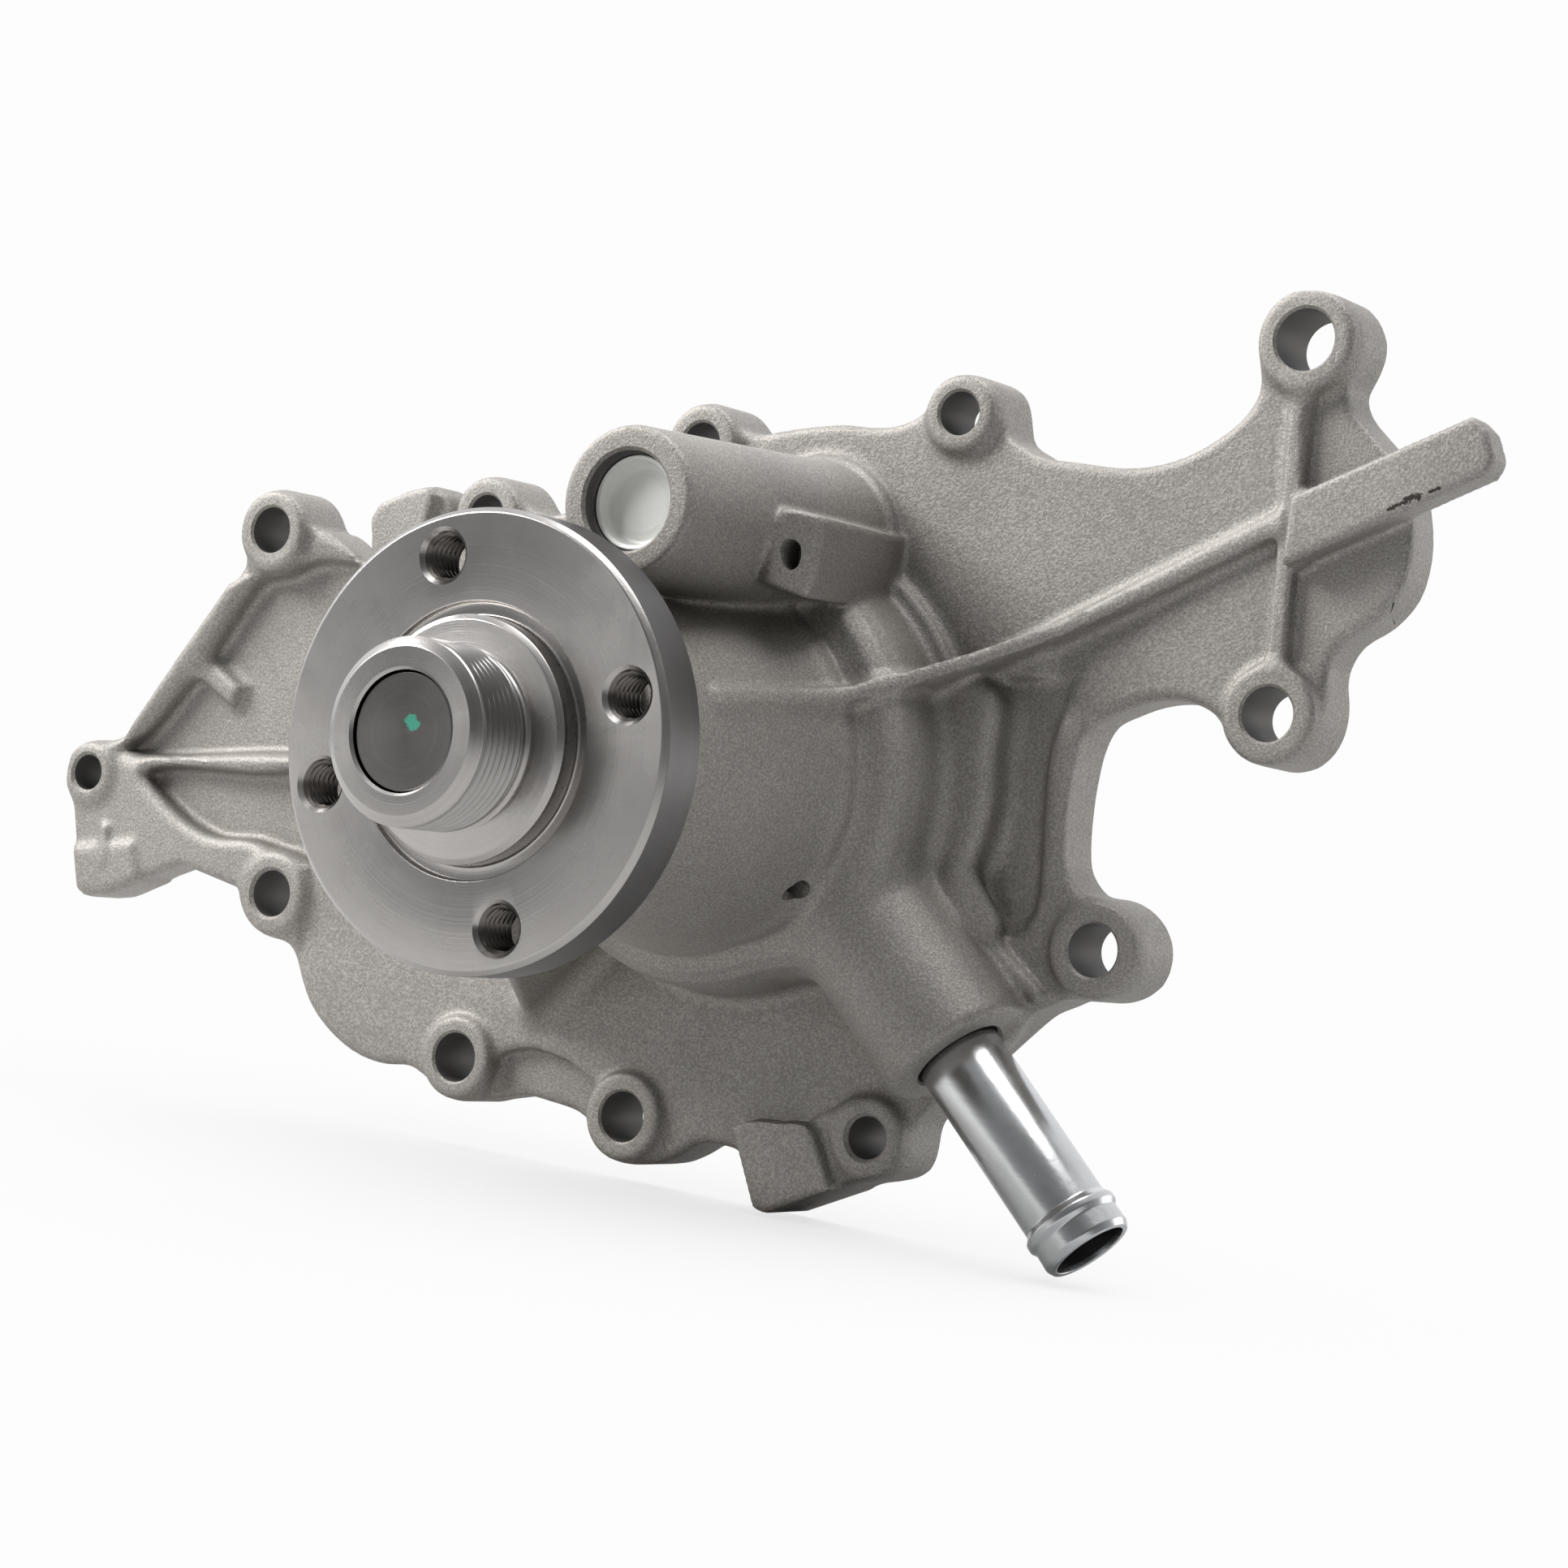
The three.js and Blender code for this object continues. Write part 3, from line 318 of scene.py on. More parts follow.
class Field:
    """A signed distance field on a regular grid, grown primitive by primitive.

    edge rounds a primitive's own edges, fillet blends it with what is there already.
    """

    def __init__(self, low, high, step):
        self.step = step
        self.axes = [np.arange(a, b + step, step, dtype=np.float32) for a, b in zip(low, high)]
        self.distance = np.full([len(a) for a in self.axes], 50.0, np.float32)

    def window(self, low, high, pad):
        where = tuple(
            slice(max(0, int(np.searchsorted(a, lo - pad)) - 1),
                  int(np.searchsorted(a, hi + pad)) + 1)
            for a, lo, hi in zip(self.axes, low, high))
        x, y, z = (a[s] for a, s in zip(self.axes, where))
        return where, x[:, None, None], y[None, :, None], z[None, None, :]

    def join(self, where, shape, fillet, cut=False):
        shape = shape.astype(np.float32)
        old = self.distance[where]
        self.distance[where] = (smooth_max(old, -shape, fillet) if cut
                                else smooth_min(old, shape, fillet))

    def prism(self, polygon, y0, y1, edge, fillet, cut=False, pad=None):
        """Polygon (x, z) extruded between y0 and y1."""
        polygon = np.array(polygon, float)
        (x0, z0), (x1, z1) = polygon.min(0), polygon.max(0)
        where, x, y, z = self.window((x0, y0, z0), (x1, y1, z1), pad or fillet + 3)
        flat = polygon_distance(polygon, *np.broadcast_arrays(x[:, 0, :], z[:, 0, :]))
        depth = np.abs(y - (y0 + y1) / 2) - (y1 - y0) / 2
        self.join(where, round_edges(flat[:, None, :], depth, edge), fillet, cut)

    def turned(self, profile, edge, fillet, at=(0.0, 0.0), cut=False, flatten=0.0):
        """Solid turned about a line parallel to Y; the profile's (radius, y) touches radius 0."""
        profile = np.array(profile, float)
        radius, y0, y1 = profile[:, 0].max(), profile[:, 1].min(), profile[:, 1].max()
        cx, cz = at
        pad, step = fillet + 3, 0.25
        where, x, y, z = self.window((cx - radius, y0, cz - radius),
                                     (cx + radius, y1, cz + radius), pad)
        rows = np.arange(0, (radius + pad) * 1.45 + step, step, dtype=np.float32)
        radii, ys = np.meshgrid(rows, y[0, :, 0], indexing="ij")
        table = polygon_distance(mirrored(profile), radii, ys)
        if edge > 0:
            table = round_profile(table, radii, ys, edge)
        rho = np.sqrt((x - cx) ** 2 + (z - cz) ** 2)[:, 0, :]
        if flatten:
            # smaller on the lower side: the radius falls by up to flatten, from radius 29 out
            angle = np.degrees(np.arctan2(z, x))[:, 0, :]
            angle = np.where(angle > 90, angle - 360, angle)
            drop = flatten * ease((-40 - angle) / 25) * (1 - ease((-150 - angle) / 40))
            outer = np.where(rho > 40 - drop, rho + drop, (rho - 29 * drop / 11) / (1 - drop / 11))
            rho = np.where(rho < 29, rho, outer).astype(np.float32)
        self.join(where, read_rows(table, rho / step), fillet, cut)

    def along(self, profile, origin, axis, fillet, clip_y):
        """Solid turned about any line and cut off behind clip_y; profile is (radius, t)."""
        profile = np.array(profile, float)
        radius, t0, t1 = profile[:, 0].max(), profile[:, 1].min(), profile[:, 1].max()
        ends = np.array([origin + axis * t0, origin + axis * t1])
        pad, step = radius + fillet + 3, 0.3
        where, x, y, z = self.window(ends.min(0), ends.max(0), pad)
        dx, dy, dz = x - origin[0], y - origin[1], z - origin[2]
        t = dx * axis[0] + dy * axis[1] + dz * axis[2]
        rho = np.sqrt(np.maximum(dx * dx + dy * dy + dz * dz - t * t, 0))
        rows = np.arange(0, radius + pad * 2, step, dtype=np.float32)
        columns = np.arange(t0 - pad * 2, t1 + pad * 2, step, dtype=np.float32)
        table = polygon_distance(mirrored(profile), *np.meshgrid(rows, columns, indexing="ij"))
        row = np.clip(rho / step, 0, len(rows) - 2.001)
        column = np.clip((t - columns[0]) / step, 0, len(columns) - 2.001)
        i, j = row.astype(np.int32), column.astype(np.int32)
        a, b = (row - i).astype(np.float32), (column - j).astype(np.float32)
        shape = ((table[i, j] * (1 - a) + table[i + 1, j] * a) * (1 - b)
                 + (table[i, j + 1] * (1 - a) + table[i + 1, j + 1] * a) * b)
        self.join(where, smooth_max(shape, (y - clip_y) + 0 * shape, 0.8), fillet)

    def slab(self, profile, angle, t0, t1, edge, fillet):
        """Radial plate at an angle about the axis; profile is (radius, y), t is across it."""
        profile = np.array(profile, float)
        ca, sa = math.cos(rad(angle)), math.sin(rad(angle))
        (r0, y0), (r1, y1) = profile.min(0), profile.max(0)
        ends = np.array([[r * ca - t * sa, r * sa + t * ca] for r in (r0, r1) for t in (t0, t1)])
        (x0, z0), (x1, z1) = ends.min(0), ends.max(0)
        where, x, y, z = self.window((x0, y0, z0), (x1, y1, z1), fillet + 3)
        outward = (x * ca + z * sa)[:, 0, :]
        across = -x * sa + z * ca
        step = 0.25
        rows = np.arange(outward.min(), outward.max() + 2 * step, step, dtype=np.float32)
        table = polygon_distance(profile, *np.meshgrid(rows, y[0, :, 0], indexing="ij"))
        flat = read_rows(table, (outward - rows[0]) / step)
        depth = np.abs(across - (t0 + t1) / 2) - (t1 - t0) / 2
        self.join(where, round_edges(flat, depth, edge), fillet)

    def hull(self, points, edge, fillet):
        """Convex polyhedron round the points."""
        bm = bmesh.new()
        for point in points:
            bm.verts.new(point)
        bmesh.ops.convex_hull(bm, input=bm.verts)
        points = np.array(points, float)
        centre = np.mean(points, axis=0)
        planes = {}
        for face in bm.faces:
            face.normal_update()
            normal, corner = np.array(face.normal), np.array(face.verts[0].co)
            if normal @ (corner - centre) < 0:
                normal = -normal
            planes[tuple(np.round(normal, 3))] = (normal, float(normal @ corner))
        bm.free()
        where, x, y, z = self.window(points.min(0), points.max(0), fillet + 3)
        shape = None
        for n, offset in planes.values():
            plane = (x * n[0] + y * n[1] + z * n[2] - offset).astype(np.float32)
            shape = plane if shape is None else smooth_max(shape, plane, edge)
        self.join(where, shape, fillet)

    def stick(self, start, end, radius, fillet):
        """A straight stick with round ends."""
        a, b = np.array(start, float), np.array(end, float)
        where, x, y, z = self.window(np.minimum(a, b), np.maximum(a, b), radius + fillet + 3)
        u = b - a
        t = np.clip(((x - a[0]) * u[0] + (y - a[1]) * u[1] + (z - a[2]) * u[2]) / (u @ u), 0, 1)
        gap = np.sqrt((x - a[0] - t * u[0]) ** 2 + (y - a[1] - t * u[1]) ** 2
                      + (z - a[2] - t * u[2]) ** 2)
        self.join(where, gap - radius, fillet)

    def mesh(self):
        """Surface nets: one vertex per crossed cell, one quad per crossed grid edge."""
        inside = self.distance < 0
        size = np.array(inside.shape) - 1
        corners = np.array(list(product((0, 1), repeat=3)))
        count = sum(inside[tuple(slice(c, n + c) for c, n in zip(corner, size))].astype(np.int8)
                    for corner in corners)
        active = (count > 0) & (count < 8)
        cells = np.argwhere(active)
        index = np.full(size, -1, np.int32)
        index[active] = np.arange(len(cells))
        values = np.stack([self.distance[tuple((cells + c).T)] for c in corners], 1)
        total = np.zeros((len(cells), 3), np.float64)
        crossings = np.zeros(len(cells))
        for i in range(8):
            for j in range(i + 1, 8):
                if np.abs(corners[i] - corners[j]).sum() != 1:
                    continue
                a, b = values[:, i], values[:, j]
                crossed = (a < 0) != (b < 0)
                t = a[crossed] / (a[crossed] - b[crossed])
                total[crossed] += corners[i] + t[:, None] * (corners[j] - corners[i])
                crossings[crossed] += 1
        spots = cells + total / crossings[:, None]
        for _ in range(2):                      # move each vertex onto the surface
            slope, value = self.gradient(spots)
            steepness = np.maximum((slope * slope).sum(1), 0.05)
            spots -= np.clip((value / steepness)[:, None] * slope, -0.6, 0.6)
            spots = np.clip(spots, cells + 0.02 - 0.35, cells + 0.98 + 0.35)
        quads = []
        for axis in range(3):
            others = [a for a in range(3) if a != axis]
            low, high = [slice(1, -1)] * 3, [slice(1, -1)] * 3
            low[axis], high[axis] = slice(0, -1), slice(1, None)
            a, b = inside[tuple(low)], inside[tuple(high)]
            for mask, flip in ((a & ~b, False), (~a & b, True)):
                edges = np.argwhere(mask)
                ring = []
                for shift in ((1, 1), (0, 1), (0, 0), (1, 0)):
                    cell = edges.copy()
                    cell[:, others] += shift
                    ring.append(index[tuple(cell.T)])
                ring = np.stack(ring, 1)
                quads.append(ring[:, ::-1] if (flip ^ (axis == 1)) else ring)
        origin = np.array([a[0] for a in self.axes])
        return origin + spots * self.step, [np.concatenate(quads)]

    def gradient(self, spots):
        """Trilinear gradient (per grid step) and value at positions given in grid units."""
        spots = np.clip(spots, 0, np.array(self.distance.shape) - 1.001)
        i = np.floor(spots).astype(int)
        x, y, z = (spots - i).T
        c = {k: self.distance[tuple((i + k).T)].astype(float) for k in product((0, 1), repeat=3)}
        c00, c10, c01, c11 = (c[0, a, b] * (1 - x) + c[1, a, b] * x
                              for a, b in ((0, 0), (1, 0), (0, 1), (1, 1)))
        low, high = c00 * (1 - y) + c10 * y, c01 * (1 - y) + c11 * y
        value = low * (1 - z) + high * z
        gx_low, gx_high = ((c[1, 0, k] - c[0, 0, k]) * (1 - y) + (c[1, 1, k] - c[0, 1, k]) * y
                           for k in (0, 1))
        gx = gx_low * (1 - z) + gx_high * z
        gy = (c10 - c00) * (1 - z) + (c11 - c01) * z
        return np.stack([gx, gy, high - low], 1), value


# ---------------------------------------------------------------- mesh helpers
def make_object(name, verts, faces):
    """Object from vertices in millimetres and a list of (n, 3) or (n, 4) face arrays."""
    mesh = bpy.data.meshes.new(name)
    groups = [np.asarray(group, np.int32) for group in faces]
    places = (np.asarray(verts, float) * 0.001).astype(np.float32)
    mesh.vertices.add(len(places))
    mesh.vertices.foreach_set("co", places.ravel())
    loops = np.concatenate([g.ravel() for g in groups])
    sizes = np.concatenate([np.full(len(g), g.shape[1], np.int32) for g in groups])
    starts = np.concatenate([[0], np.cumsum(sizes)[:-1]]).astype(np.int32)
    mesh.loops.add(len(loops))
    mesh.loops.foreach_set("vertex_index", loops)
    mesh.polygons.add(len(sizes))
    mesh.polygons.foreach_set("loop_start", starts)
    mesh.update(calc_edges=True)
    mesh.validate()
    ob = bpy.data.objects.new(name, mesh)
    bpy.context.scene.collection.objects.link(ob)
    return ob


def finish(ob, materials, body, replaced, angle=32, indices=None):
    """Materials, shading that stays sharp above the angle, and the part's entry in the frame."""
    mesh = ob.data
    mesh.materials.clear()
    for material in materials:
        mesh.materials.append(material)
    if indices is not None:
        mesh.polygons.foreach_set("material_index", indices)
    mesh.polygons.foreach_set("use_smooth", [True] * len(mesh.polygons))
    mesh.set_sharp_from_angle(angle=rad(angle))
    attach(ob, body)
    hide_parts(replaced)


def face_values(ob, key):
    values = np.zeros(len(ob.data.polygons) * 3)
    ob.data.polygons.foreach_get(key, values)
    return values.reshape(-1, 3)


def rounded(profile, steps=6):
    """Closed (r, y) or (r, y, radius) corners as a polyline; corners with a radius become arcs."""
    corners = [tuple(p) + (0,) * (3 - len(p)) for p in profile]
    line = []
    for i, corner in enumerate(corners):
        radius = corner[2]
        point, before, after = (np.array(c[:2], float) for c in (
            corner, corners[i - 1], corners[(i + 1) % len(corners)]))
        if radius <= 0:
            line.append(tuple(point))
            continue
        u, v = before - point, after - point
        length_u, length_v = np.linalg.norm(u), np.linalg.norm(v)
        u, v = u / length_u, v / length_v
        half = math.acos(float(np.clip(u @ v, -1, 1))) / 2
        t = min(radius / max(math.tan(half), 1e-6), 0.48 * length_u, 0.48 * length_v)
        radius = t * math.tan(half)
        centre = point + (u + v) / np.linalg.norm(u + v) * (radius / math.sin(half))
        start, end = point + u * t - centre, point + v * t - centre
        a0, a1 = math.atan2(start[1], start[0]), math.atan2(end[1], end[0])
        while a1 - a0 > math.pi:
            a1 -= 2 * math.pi
        while a1 - a0 < -math.pi:
            a1 += 2 * math.pi
        for k in range(steps + 1):
            a = a0 + (a1 - a0) * k / steps
            line.append((centre[0] + radius * math.cos(a), centre[1] + radius * math.sin(a)))
    return line


def revolve(profile, segments, displace=None, origin=(0, 0, 0), axis=None):
    """Closed (r, t) profile turned about the line through origin, along Y if no axis is given.

    Points with r = 0 share one vertex. displace may change the radii of a ring.
    """
    points = np.array(profile, float)
    points = points[[i for i in range(len(points))
                     if np.linalg.norm(points[i] - points[i - 1]) > 1e-6]]
    total = len(points)
    on_axis = points[:, 0] < 1e-7
    theta = np.linspace(0, 2 * math.pi, segments, endpoint=False)
    if axis is None:
        side, up, other = np.eye(3)
    else:
        up = np.array(axis, float)
        up /= np.linalg.norm(up)
        side = np.array([0, 1.0, 0])
        side = side - (side @ up) * up
        side /= np.linalg.norm(side)
        other = np.cross(up, side)
    verts, index, used = [], np.zeros((total, segments), int), 0
    for i, (r, t) in enumerate(points):
        if on_axis[i]:
            verts.append(np.array([[0, t, 0]]))
            index[i] = used
            used += 1
            continue
        radii = np.full(segments, r)
        if displace is not None:
            radii = displace(radii, np.full(segments, t), theta)
        verts.append(np.stack([radii * np.cos(theta), np.full(segments, t),
                               radii * np.sin(theta)], 1))
        index[i] = np.arange(used, used + segments)
        used += segments
    local = np.concatenate(verts)
    placed = (np.array(origin, float) + local[:, :1] * side + local[:, 1:2] * up
              + local[:, 2:3] * other)
    area = 0.0
    for i in range(total):
        j = (i + 1) % total
        area += points[i, 0] * points[j, 1] - points[j, 0] * points[i, 1]
    flip = bool(area > 0) != (axis is not None)
    quads, tris = [], []
    for i in range(total):
        j = (i + 1) % total
        if on_axis[i] and on_axis[j]:
            continue
        a, b = index[i], np.roll(index[i], -1)
        c, d = np.roll(index[j], -1), index[j]
        ring = (a, c, d) if on_axis[i] else (a, b, c) if on_axis[j] else (a, b, c, d)
        faces = np.stack(ring, 1)
        (quads if len(ring) == 4 else tris).append(faces[:, ::-1] if flip else faces)
    return placed, [np.concatenate(group) for group in (quads, tris) if group]


def merge(parts):
    """Several (verts, faces) as one."""
    verts, groups, used = [], {4: [], 3: []}, 0
    for part, faces in parts:
        verts.append(part)
        for group in faces:
            groups[group.shape[1]].append(group + used)
        used += len(part)
    return np.concatenate(verts), [np.concatenate(group) for group in groups.values() if group]


def prism_mesh(polygon, y0, y1):
    """Extruded (x, z) polygon as a closed mesh with triangulated caps."""
    P = np.array(polygon, float)
    n = len(P)
    area = 0.5 * np.sum(P[:, 0] * np.roll(P[:, 1], -1) - np.roll(P[:, 0], -1) * P[:, 1])
    if area < 0:
        P = P[::-1]
    verts = np.concatenate([np.stack([P[:, 0], np.full(n, y), P[:, 1]], 1) for y in (y0, y1)])

    # anticlockwise in (x, z) faces -Y
    def anticlockwise(triangle):
        a, b, c = P[triangle]
        return (b[0] - a[0]) * (c[1] - a[1]) - (b[1] - a[1]) * (c[0] - a[0]) > 0
    triangles = np.array(tessellate_polygon([[Vector((p[0], p[1], 0)) for p in P]]))
    triangles = np.array([t if anticlockwise(t) else t[::-1] for t in triangles])
    i = np.arange(n)
    j = (i + 1) % n
    sides = np.stack([i, i + n, j + n, j], 1)
    return verts, [sides, np.concatenate([triangles, triangles[:, ::-1] + n])]


def cut(ob, cutters):
    """Takes closed meshes, each (verts, faces), away from ob."""
    tool = make_object("tool", *merge(cutters))
    modifier = ob.modifiers.new("bool", "BOOLEAN")
    modifier.operation = "DIFFERENCE"
    modifier.solver = "MANIFOLD"
    modifier.object = tool
    apply_modifiers(ob)
    bpy.data.objects.remove(tool)


def apply_modifiers(ob):
    graph = bpy.context.evaluated_depsgraph_get()
    graph.update()
    mesh = bpy.data.meshes.new_from_object(ob.evaluated_get(graph))
    old = ob.data
    ob.modifiers.clear()
    ob.data = mesh
    mesh.name = ob.name
    if old.users == 0:
        bpy.data.meshes.remove(old)


def turned_part(name, profile, segments, body, replaced, material, origin=(0, 0, 0)):
    finish(make_object(name, *revolve(profile, segments, origin=origin)),
           (material,), body, replaced)


# ---------------------------------------------------------------- shader helpers
def rgba(colour):
    """A grey level or a colour tuple with alpha added; a socket passes unchanged."""
    if isinstance(colour, (int, float)):
        colour = (colour,) * 3
    return (*colour, 1) if isinstance(colour, tuple) else colour


class Graph:
    """Adds nodes to a shader node tree. Inputs are values or the sockets that feed them."""

    def __init__(self, tree):
        self.tree = tree

    def link(self, source, target):
        self.tree.links.new(source, target)

    def node(self, kind, inputs=None, **settings):
        node = self.tree.nodes.new("ShaderNode" + kind)
        for key, value in settings.items():
            setattr(node, key, value)
        for key, value in (inputs or {}).items():
            if isinstance(value, bpy.types.NodeSocket):
                self.link(value, node.inputs[key])
            else:
                node.inputs[key].default_value = value
        return node

    def ramp(self, mask, *stops):
        node = self.node("ValToRGB", {0: mask})
        elements = node.color_ramp.elements
        while len(elements) < len(stops):
            elements.new(0.5)
        for element, (position, colour) in zip(elements, stops):
            element.position = position
            element.color = rgba(colour)
        return node.outputs[0]

    def coords(self):
        return self.node("TexCoord").outputs["Object"]

    def noise(self, vector, scale, detail=3.0, rough=0.55, output="Fac", distortion=0.0):
        return self.node("TexNoise", {
            "Vector": vector, "Scale": scale, "Detail": detail, "Roughness": rough,
            "Distortion": distortion}).outputs[output]

    def math(self, operation, *values, clamp=False):
        return self.node("Math", dict(enumerate(values)), operation=operation,
                         use_clamp=clamp).outputs[0]

    def vector(self, operation, *values, output=0):
        return self.node("VectorMath", dict(enumerate(values)),
                         operation=operation).outputs[output]

    def mix(self, factor, a, b, mode="MIX"):
        return self.node("Mix", {0: factor, 6: rgba(a), 7: rgba(b)}, data_type="RGBA",
                         blend_type=mode).outputs[2]

    def bump(self, height, strength, distance, normal=None):
        inputs = {"Height": height, "Strength": strength, "Distance": distance}
        if normal is not None:
            inputs["Normal"] = normal
        return self.node("Bump", inputs).outputs[0]

    def occlusion(self, distance, samples):
        return self.node("AmbientOcclusion", {"Distance": distance}, samples=samples).outputs["AO"]

    def mottle(self, mask, colour, spread, tint=(1, 1, 1)):
        """The colour, darker and lighter by spread; tint colours the light end."""
        return self.ramp(mask, (0.3, tuple(c * (1 - spread) for c in colour)),
                         (0.7, tuple(min(1, c * (1 + spread) * t) for c, t in zip(colour, tint))))


def new_material(name):
    material = bpy.data.materials.new(name)
    material.use_nodes = True
    material.node_tree.nodes.clear()
    graph = Graph(material.node_tree)
    output = graph.node("OutputMaterial")
    bsdf = graph.node("BsdfPrincipled")
    graph.link(bsdf.outputs[0], output.inputs[0])
    return material, graph, bsdf


def surface(graph, bsdf, base, metallic, mask, spread, low):
    """Base colour, metallic, and a roughness of low plus the mask times spread."""
    graph.link(base, bsdf.inputs["Base Color"])
    bsdf.inputs["Metallic"].default_value = metallic
    graph.link(graph.math("MULTIPLY_ADD", mask, spread, low), bsdf.inputs["Roughness"])


# ---------------------------------------------------------------- materials
def cast_material(name, dark, light, metallic, rough, grain=1.0, stain=0.25):
    """Sand-blasted casting: fine grain, cloudy variation, faint warm stains, worn grains, painted
    shade in corners.
    """
    material, g, bsdf = new_material(name)
    at = g.coords()
    fine = g.noise(at, scale=2400, detail=2.0, rough=0.6)
    medium = g.noise(at, scale=900, detail=3.0, rough=0.6)
    cloud = g.noise(at, scale=38, detail=4.0, rough=0.6)
    broad = g.noise(at, scale=11, detail=3.0, rough=0.5)
    base = g.ramp(cloud, (0.22, dark), (0.80, light))
    speckle = g.ramp(fine, (0.36, 0.74), (0.52, 1), (0.68, (1.34, 1.33, 1.31)))
    base = g.mix(0.85, base, speckle, "MULTIPLY")
    warm = g.ramp(broad, (0.48, 1), (0.72, (1.0, 0.955, 0.89)))
    base = g.mix(stain, base, warm, "MULTIPLY")
    cells = g.node("TexVoronoi", {"Vector": at, "Scale": 210.0, "Randomness": 1.0}, feature="F1")
    pits = g.ramp(cells.outputs["Distance"], (0.030, (0.42, 0.41, 0.40)), (0.060, 1))
    base = g.mix(0.55, base, pits, "MULTIPLY")
    # painted shade: ambient occlusion darkens corners and creases, standing in for the shade they
    # get, with a little dust held in them
    dust_and_shade = g.ramp(g.occlusion(distance=0.016, samples=4), (0.15, (0.20, 0.185, 0.165)),
                  (0.45, (0.62, 0.60, 0.575)), (0.78, 1))
    base = g.mix(0.72, base, dust_and_shade, "MULTIPLY")
    surface(g, bsdf, base, metallic, mask=cloud, spread=0.12, low=rough - 0.06)
    normal = g.bump(medium, strength=0.32 * grain, distance=0.00020)
    normal = g.bump(fine, strength=0.85 * grain, distance=0.00011, normal=normal)
    g.link(normal, bsdf.inputs["Normal"])
    return material


def turned_material(name, colour, rough, aniso, rings, metallic=1.0, tint=0.06):
    """Turned metal: fine concentric tool marks, anisotropic glint, faint smudges."""
    material, g, bsdf = new_material(name)
    at = g.coords()
    axis = g.node("SeparateXYZ", {0: g.vector("SUBTRACT", at, (0, 0, 0))}).outputs
    radius = g.math("SQRT", g.math("ADD", g.math("MULTIPLY", axis[0], axis[0]),
                                   g.math("MULTIPLY", axis[2], axis[2])))
    turned = g.node("CombineXYZ", {0: radius, 1: axis[1]}).outputs[0]
    marks = g.noise(turned, scale=2600, detail=3.0, rough=0.7)
    broad = g.noise(turned, scale=420, detail=2.0, rough=0.5)
    smudge = g.noise(at, scale=55, detail=5.0, rough=0.65, distortion=0.4)
    dots = g.noise(at, scale=1100, detail=2.0, rough=0.6)
    base = g.mottle(smudge, colour, tint)
    base = g.mix(0.35, base, g.ramp(marks, (0.35, 0.82), (0.65, 1.12)), "MULTIPLY")
    specks = g.ramp(dots, (0.215, (0.55, 0.52, 0.49)), (0.255, 1))
    base = g.mix(0.2, base, specks, "MULTIPLY")
    surface(g, bsdf, base, metallic, mask=smudge, spread=0.14, low=rough - 0.07)
    if aniso:
        bsdf.inputs["Anisotropic"].default_value = aniso
        tangent = g.node("Tangent", direction_type="RADIAL", axis="Y")
        g.link(tangent.outputs[0], bsdf.inputs["Tangent"])
    normal = g.bump(marks, strength=rings, distance=0.00004)
    normal = g.bump(broad, strength=rings * 0.6, distance=0.00008, normal=normal)
    g.link(normal, bsdf.inputs["Normal"])
    return material


def plated_material(name, colour, rough, scratch, mottle, metallic=1.0, tint=(1, 1, 1)):
    """Nearly smooth metal: slight mottling, fine scratches."""
    material, g, bsdf = new_material(name)
    at = g.coords()
    cloud = g.noise(at, scale=160, detail=4.0, rough=0.6)
    stretched = g.node("Mapping", {"Vector": at, "Rotation": (0, rad(43), 0),
                                   "Scale": (60, 1200, 900)}).outputs[0]
    scratches = g.noise(stretched, scale=1.0, detail=3.0, rough=0.6)
    base = g.mottle(cloud, colour, mottle, tint)
    surface(g, bsdf, base, metallic, mask=cloud, spread=0.16, low=rough - 0.08)
    sand = g.noise(at, scale=2600, detail=2.0, rough=0.6)
    normal = g.bump(scratches, strength=scratch, distance=0.00003)
    normal = g.bump(sand, strength=scratch * 0.35, distance=0.00002, normal=normal)
    g.link(normal, bsdf.inputs["Normal"])
    return material


def soft_material(name, colour, rough, strength=0.3, metallic=0.0, spread=0.15):
    """Rubber, polymer, carbon or ceramic: a mottled colour and a fine grain."""
    grain_scale = 900.0
    material, g, bsdf = new_material(name)
    at = g.coords()
    cloud = g.noise(at, scale=grain_scale * 0.12, detail=4.0, rough=0.6)
    grain = g.noise(at, scale=grain_scale, detail=3.0, rough=0.6)
    base = g.mottle(cloud, colour, spread)
    surface(g, bsdf, base, metallic, mask=grain, spread=0.15, low=rough - 0.07)
    g.link(g.bump(grain, strength=strength, distance=0.00008), bsdf.inputs["Normal"])
    return material


def paint_over(graph, bsdf, mask, colour):
    """Lays a colour over the base colour where the mask is 1."""
    base = bsdf.inputs["Base Color"]
    old = base.links[0].from_socket
    mixed = graph.mix(mask, 0, colour)
    graph.link(mixed, base)
    graph.link(old, mixed.node.inputs[6])


